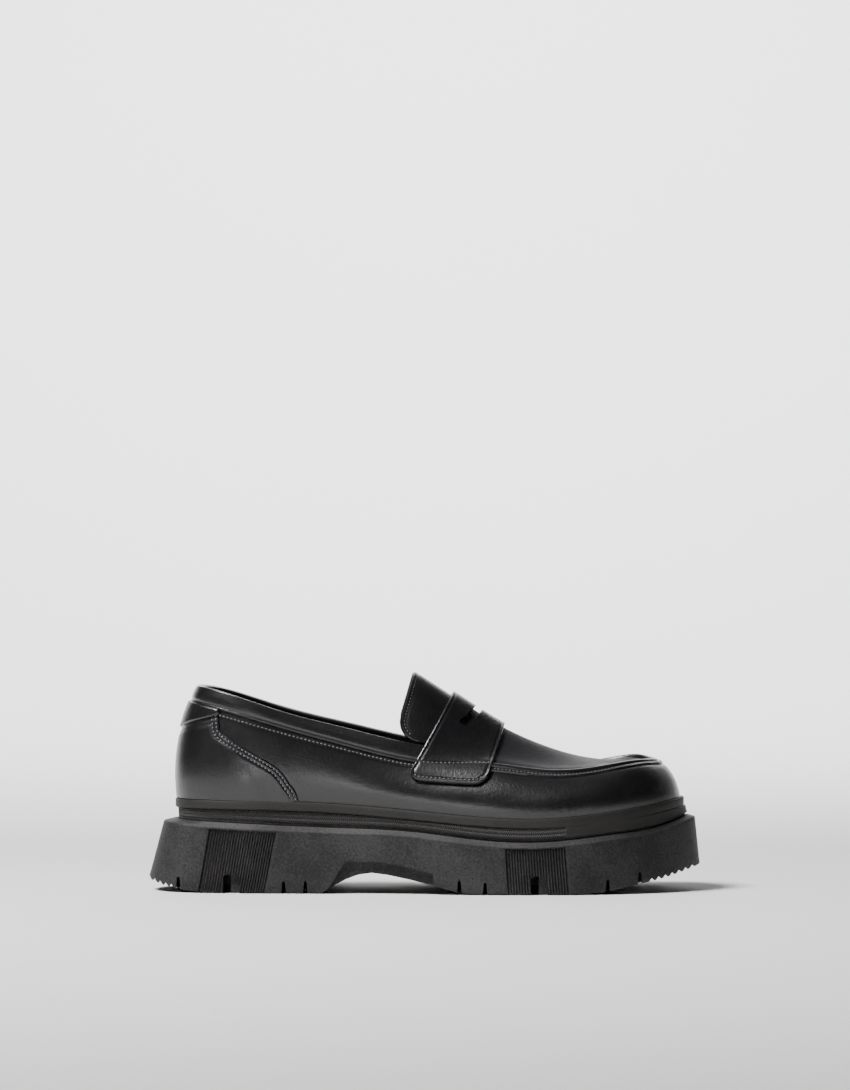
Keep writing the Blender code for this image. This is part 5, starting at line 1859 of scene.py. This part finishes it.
@dataclass
class Outsole:
    """The lugged outsole: heel and forefoot blocks, ribbed panels, arch, toe spring, slits and saw teeth."""

    rib_pitch: float = 0.00148
    rib_depth: float = 0.0008
    panel_depth: float = 0.0007
    slit_width: float = 0.0027
    slit_height: float = 0.0068
    slit_reach: float = 0.017
    window_width: float = 0.0094
    window_height: float = 0.0105
    window_corner: float = 0.0022
    window_depth: float = 0.0042
    heel_tooth_pitch: float = 0.0032
    tooth_pitch: float = 0.0039
    tooth_depth: float = 0.0019
    bar_height: float = 0.006
    bar_end: float = 0.015
    seat_gap: float = 0.0003
    plain_column: float = 0.0016
    corner_rise: float = 0.0006

    # A slit's outline from its foot to its tip: shares of half the width and of the height
    SLIT_SIDE = ((-1.0, -0.01), (-1.0, 0.0), (-0.66, 0.72), (-0.56, 0.90), (-0.30, 1.0))
    # Half widths of a tread bar at its mouth and its bottom
    BAR_SIDES = (0.00225, 0.0018)
    # Depth into the waist and drop of its roof, for each step of the recess
    WAIST_STEPS = ((0.0030, 0.0), (0.0045, 0.0028))

    def wall_columns(self) -> tuple[np.ndarray, np.ndarray, np.ndarray]:
        """Loop places of the wall's columns at its top and foot, and the relief of the rib panels.

        Between fixed marks the columns are evenly spread; in a panel the relief is a cosine rib wave over a
        step that is deepest at the panel's rear edge.

        Returns:
            Top places, foot places, and depths.
        """
        dense = np.linspace(0, 1, 2001)
        halves = []
        for inner in (False, True):
            loop = 2 - dense if inner else dense
            top_x = LAST.outline(loop, MIDSOLE_FOOT + SHELF)[0][:, 0] / UPPER_LENGTH
            foot_x = LAST.outline(loop, MIDSOLE_FOOT + SHELF + FLARE)[0][:, 0] / UPPER_LENGTH
            marks = [(0.0, 0.0, 0)]
            for start, end, low_start, low_end in RIB_PANELS:
                marks.append((np.interp(start, top_x, dense), np.interp(low_start, foot_x, dense), 1))
                marks.append((np.interp(end, top_x, dense), np.interp(low_end, foot_x, dense), 0))
            marks.append((1.0, 1.0, 0))
            tops, feet, depths = [], [], []
            for (t0, f0, ribbed), (t1, f1, _) in zip(marks, marks[1:]):
                length = (t1 - t0) * LAST.half_length
                ribs = round(length / self.rib_pitch)
                count = 8 * ribs if ribbed else max(24, int(length / self.plain_column))
                share = np.linspace(0, 1, count + 1)
                if ribbed:
                    wave = (1 - np.cos(share * 2 * np.pi * ribs)) / 2
                    edge = smooth(share, 0, 0.004) * (1 - smooth(share, 0.985, 1.0))
                    depth = (self.rib_depth * wave + self.panel_depth * (1 - 0.75 * share)) * edge
                    depth = depth + 0.0009 * np.exp(-(((share - 0.006) / 0.006) ** 2))
                else:
                    corner = np.exp(-(((1 - share) * length / 0.0009) ** 2)) * (t1 < 1)
                    depth = -self.corner_rise * corner * smooth(1 - share, 0.0, 0.0004 / length)
                tops.append((t0 + (t1 - t0) * share)[:-1])
                feet.append((f0 + (f1 - f0) * share)[:-1])
                depths.append(depth[:-1])
            halves.append([np.concatenate(a + [[e]]) for a, e in ((tops, 1.0), (feet, 1.0), (depths, 0.0))])
        outer, inner_half = halves
        top = np.concatenate([outer[0], 2 - inner_half[0][-2:0:-1]])
        foot = np.concatenate([outer[1], 2 - inner_half[1][-2:0:-1]])
        depth = np.concatenate([outer[2], inner_half[2][-2:0:-1]])
        return top, foot, depth

    def build(self, finishes: Finishes) -> None:
        """Rings from the tread's edge up the flared wall, over the shelf to the seat, then all the cuts.

        Args:
            finishes: The shoe's materials.
        """
        top_at, foot_at, depth = self.wall_columns()
        seat_out, top_out = MIDSOLE_FOOT, MIDSOLE_FOOT + SHELF
        foot_out = top_out + FLARE
        top_plan, top_n = LAST.outline(top_at, top_out)
        foot_plan, foot_n = LAST.outline(foot_at, foot_out)
        drop = blend_round(top_n[:, 0], SHELF_DROP)

        def wall(share: float, inward: float, rise: float, ribs: float) -> np.ndarray:
            """A ring at a share of the way up the wall, moved in and up."""
            low = np.column_stack([foot_plan, tread_height(foot_plan[:, 0] / UPPER_LENGTH)])
            top = seat_height(top_plan[:, 0] / UPPER_LENGTH) - self.seat_gap - drop
            high = np.column_stack([top_plan, top])
            normal = foot_n * (1 - share) + top_n * share
            points = low * (1 - share) + high * share
            points[:, :2] -= normal * (inward + depth * ribs)[:, None]
            points[:, 2] += rise
            return points - LAST.shift

        seat_plan, _ = LAST.outline(top_at, seat_out - 0.0016)
        edge_plan, _ = LAST.outline(top_at, seat_out + 0.0004)
        edge, seat = (
            np.column_stack([plan, seat_height(plan[:, 0] / UPPER_LENGTH) - self.seat_gap]) - LAST.shift
            for plan in (edge_plan, seat_plan)
        )
        rings = [
            wall(0, 0.0011, 0.0, 0.2),
            wall(0, 0.0003, 0.00025, 0.7),
            wall(0, 0.0, 0.0008, 1.0),
            *[wall(share, 0.0, 0.0, 1.0) for share in (0.15, 0.3, 0.45, 0.6, 0.75, 0.85, 0.950)],
            wall(0.958, 0.0, 0.0, 0.35),
            wall(0.966, 0.0, 0.0, 0.0),
            wall(0.985, 0.0, 0.0, 0.0),
            wall(0.995, 0.0002, 0.0, 0.0),
            wall(1.0, 0.0006, 0.0002, 0.0),
            edge,
            seat,
        ]
        points = np.stack(rings)
        count = len(top_at)
        faces = grid_faces(len(rings), count, round_columns=True)
        caps = Midsole.caps(count)
        faces = np.concatenate([faces, caps, caps[:, ::-1] + (len(rings) - 1) * count])
        piece = mesh_piece("outsole_lugs", points, faces, [finishes.rubber], merge=1e-6, sharp=38)
        cut_with(piece, *self.cutters(foot_out))
        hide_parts("outsole")
        LOG.info("outsole after its cuts: %d faces", len(piece.data.polygons))

    def reach(self, along: float, out: np.ndarray) -> tuple[float, float]:
        """The foot outline's y on the outer and the inner side at a share along.

        Args:
            along: The share along.
            out: Heel, side and toe amounts outside the feather edge.

        Returns:
            The outer and the inner y.
        """
        dense = np.linspace(0.02, 0.98, 600)
        found = []
        for loop in (dense, 2 - dense):
            plan, _ = LAST.outline(loop, out)
            found.append(float(np.interp(along, plan[:, 0] / UPPER_LENGTH, plan[:, 1])))
        return found[0], found[1]

    def cutters(self, out: np.ndarray) -> list[bpy.types.Mesh]:
        """Slits, windows, tread bars, the waist's recess and the saw teeth, as prisms across the foot.

        Args:
            out: Heel, side and toe amounts of the foot's outline.

        Returns:
            Closed meshes to subtract.
        """
        made = []
        for along in SLITS:
            x, low, half = along * UPPER_LENGTH, float(tread_height(along)[0]), self.slit_width / 2
            left = [(half * a, low + (b * self.slit_height if b >= 0 else b)) for a, b in self.SLIT_SIDE]
            outline = [(x + a, z) for a, z in left] + [(x - a, z) for a, z in left[::-1]]
            made += self.cut_sides(outline, self.reach(max(along, -0.002), out), self.slit_reach)
        for along in WINDOWS:
            x, half, high = along * UPPER_LENGTH, self.window_width / 2, self.window_height
            turn = np.linspace(0, np.pi / 2, 5)
            corner = self.window_corner
            side, top = half - corner, high - corner
            right = [(side + corner * math.cos(a), top + corner * math.sin(a)) for a in turn]
            left = [(-a, b) for a, b in right[::-1]]
            outline = [(x + half, -0.01), *[(x + a, b) for a, b in right + left], (x - half, -0.01)]
            lug = [(x - half, -0.01), (x - half * 0.05, -0.01), (x - half * 0.05, high - 0.0004)]
            lug += [(x + a, b - 0.0002) for a, b in left]
            made += self.cut_sides(outline, self.reach(along, out), self.window_depth)
            made += self.cut_sides(lug[::-1], self.reach(along, out), self.slit_reach)
        for along in TREAD_BARS:
            x, low = along * UPPER_LENGTH, float(tread_height(along)[0]) + self.bar_height
            mouth, bottom = self.BAR_SIDES
            outline = [(x - mouth, -0.01), (x + mouth, -0.01), (x + bottom, low), (x - bottom, low)]
            outer, inner = self.reach(along, out)
            made.append(prism(outline, outer + self.bar_end, inner - self.bar_end))
        made += self.waist(out)
        made += [self.comb(-0.061, 5, self.heel_tooth_pitch), self.comb(0.938, 7, self.tooth_pitch)]
        return made

    @staticmethod
    def cut_sides(
        outline: Sequence[tuple[float, float]], sides: tuple, depth: float, beyond: float = 0.01
    ) -> list[bpy.types.Mesh]:
        """A prism for each side of the foot, from beyond its outline to depth inside it.

        Args:
            outline: Corners as x and z.
            sides: The outer and the inner y, each one value or one for each corner.
            depth: How far in.
            beyond: How far out.

        Returns:
            The outer and the inner prism.
        """
        outer, inner = sides
        return [prism(outline, outer - beyond, outer + depth), prism(outline, inner - depth, inner + beyond)]

    def waist(self, out: np.ndarray) -> list[bpy.types.Mesh]:
        """The recess beside the waist, in two steps: a shallow one and a deeper one inside it.

        Args:
            out: Heel, side and toe amounts of the foot's outline.

        Returns:
            Closed meshes to subtract.
        """
        table = np.array(SHANK_PANEL)
        start, end = table[0, 0], table[-1, 0]
        ends = np.array([self.reach(start, out), self.reach(end, out)])
        share = (table[:, 0] - start) / (end - start)
        outer, inner = (ends[0] + (ends[1] - ends[0]) * share[:, None]).T
        made = []
        for depth, sink in self.WAIST_STEPS:
            heights = [h * RIM_HEIGHT - (sink if h > 0.3 else 0.0) for _, h in SHANK_PANEL]
            outline = [(a * UPPER_LENGTH, z) for (a, _), z in zip(SHANK_PANEL, heights)]
            made += self.cut_sides(outline, (outer, inner), depth, 0.02)
        return made

    def comb(self, start: float, count: int, pitch: float) -> bpy.types.Mesh:
        """A saw-tooth prism along the underside, one tooth every pitch.

        Args:
            start: The first tooth's share along.
            count: How many teeth.
            pitch: Length from tooth to tooth.

        Returns:
            A closed mesh to subtract.
        """
        points = []
        for number in range(2 * count + 1):
            along = start + (number - 1) * pitch / UPPER_LENGTH / 2
            rise = self.tooth_depth if number % 2 else -0.0004
            points.append((along * UPPER_LENGTH, float(tread_height(along)[0]) + rise))
        low = min(z for _, z in points) - 0.01
        return prism([*points, (points[-1][0], low), (points[0][0], low)], -0.08, 0.08)


@dataclass
class Studio:
    """The pale paper sweep, the lights and the camera."""

    distance: float = 5.0
    elevation: float = 1.4
    pixel: float = 0.0005652
    ground_row: float = 889.1
    photo_height: int = 1090

    def build(self) -> None:
        """Lays the paper, hangs the lights and sets up the camera."""
        self.paper()
        self.lights()
        self.camera()

    def paper(self) -> None:
        """A sweep: flat floor, a quarter circle behind it and a wall above, as one grid."""
        turn = np.linspace(0, np.pi / 2, 24)
        radius, back, top = 1.2, 1.6, 3.5
        y = np.concatenate([[-9.0, -1.0], back + radius * np.sin(turn), [back + radius]])
        z = np.concatenate([[0.0, 0.0], radius * (1 - np.cos(turn)), [top]])
        x = np.array([-9.0, 9.0])
        across = np.broadcast_to(x, (len(y), 2))
        points = np.stack([across, np.stack([y, y], 1), np.stack([z, z], 1)], -1)
        points[..., 2] -= 0.0002
        mesh = bpy.data.meshes.new("sweep")
        mesh.from_pydata(points.reshape(-1, 3).tolist(), [], grid_faces(len(y), 2)[:, ::-1].tolist())
        mesh.shade_smooth()
        sweep = bpy.data.objects.new("paper_sweep", mesh)
        bpy.context.scene.collection.objects.link(sweep)
        mesh.materials.append(SeamlessPaper().build())

    def lights(self) -> None:
        """A lamp high on the left for the floor, one for the paper, three dim cards and a dark room."""
        self.area("floor_lamp", (-1.1, -0.7, 2.1), (0.0, -0.1, 0.0), (0.9, 0.7), 64.0, 120.0)
        self.area("paper_lamp", (0.0, 0.9, 2.6), (0.0, 2.5, 0.9), (1.2, 0.4), 112.0, 110.0)
        self.area("high_card", (0.1, 1.8, 2.2), (0.0, 0.0, 0.1), (1.6, 0.7), 7.0, 180.0)
        self.area("low_card", (-0.42, -1.7, 0.06), (-0.08, 0.0, 0.05), (0.25, 0.10), 1.7, 180.0)
        self.area("front_card", (-1.2, -3.6, 0.75), (0.0, 0.0, 0.05), (1.6, 1.2), 0.3, 180.0)
        world = bpy.context.scene.world or bpy.data.worlds.new("room")
        bpy.context.scene.world = world
        world.use_nodes = True
        world.node_tree.nodes["Background"].inputs["Color"].default_value = (1, 1, 1, 1)
        world.node_tree.nodes["Background"].inputs["Strength"].default_value = 0.02

    def area(
        self, name: str, place: tuple, aim: tuple, size: tuple[float, float], power: float, spread: float
    ) -> None:
        """A rectangular area light at place, aimed at a point, with its beam's spread in degrees.

        Args:
            name: The light's name.
            place: Where it hangs.
            aim: The point that it faces.
            size: Its two sides.
            power: Watts.
            spread: Degrees.
        """
        light = bpy.data.lights.new(name, "AREA")
        light.shape = "RECTANGLE"
        light.size, light.size_y = size
        light.energy = power
        light.spread = math.radians(spread)
        lamp = bpy.data.objects.new(name, light)
        run = np.array(aim) - np.array(place)
        flat = math.hypot(run[0], run[1])
        lamp.rotation_euler = (math.atan2(flat, -run[2]), 0.0, math.atan2(-run[0], run[1]))
        lamp.location = place
        lamp.visible_camera = False
        bpy.context.scene.collection.objects.link(lamp)

    def camera(self) -> None:
        """The camera at the photograph's angle: a long lens, slightly above, square to the shoe's side."""
        tilt = math.radians(self.elevation)
        look = np.array([0.0, math.cos(tilt), -math.sin(tilt)])
        target = np.array([0.5 * self.pixel, 0.0, (self.ground_row - self.photo_height / 2) * self.pixel])
        data = bpy.data.cameras.new("camera")
        data.sensor_width = 36.0
        data.lens = data.sensor_width * self.distance / (self.photo_height * self.pixel)
        data.clip_end = 100.0
        camera = bpy.data.objects.new("camera", data)
        camera.location = target - look * self.distance
        camera.rotation_euler = (math.pi / 2 - tilt, 0.0, 0.0)
        bpy.context.scene.collection.objects.link(camera)
        bpy.context.scene.camera = camera


LAST = Last()
CREASES = hand_creases()
SEAM_START = (LAST.edge_place(2.0, STRAP_FRONT), LAST.edge_place(6.0, STRAP_FRONT))


def main() -> None:
    finishes = Finishes.make()
    rows = Stitching("stitching")
    upper = Upper()
    upper.build(finishes)
    upper.stitch(rows)
    CollarBand().build(finishes, rows)
    Counter().build(finishes, rows)
    HeelTab().build(finishes)
    CollarBinding().build(finishes)
    Tongue().build(finishes, rows)
    SaddleStrap().build(finishes, rows)
    thread = rows.build(finishes.thread)
    Insole().build(finishes)
    Midsole().build(finishes)
    Outsole().build(finishes)
    Studio().build()
    bpy.context.view_layer.update()


if __name__ == "__main__":
    logging.basicConfig(level=logging.INFO, format="%(message)s")
    main()
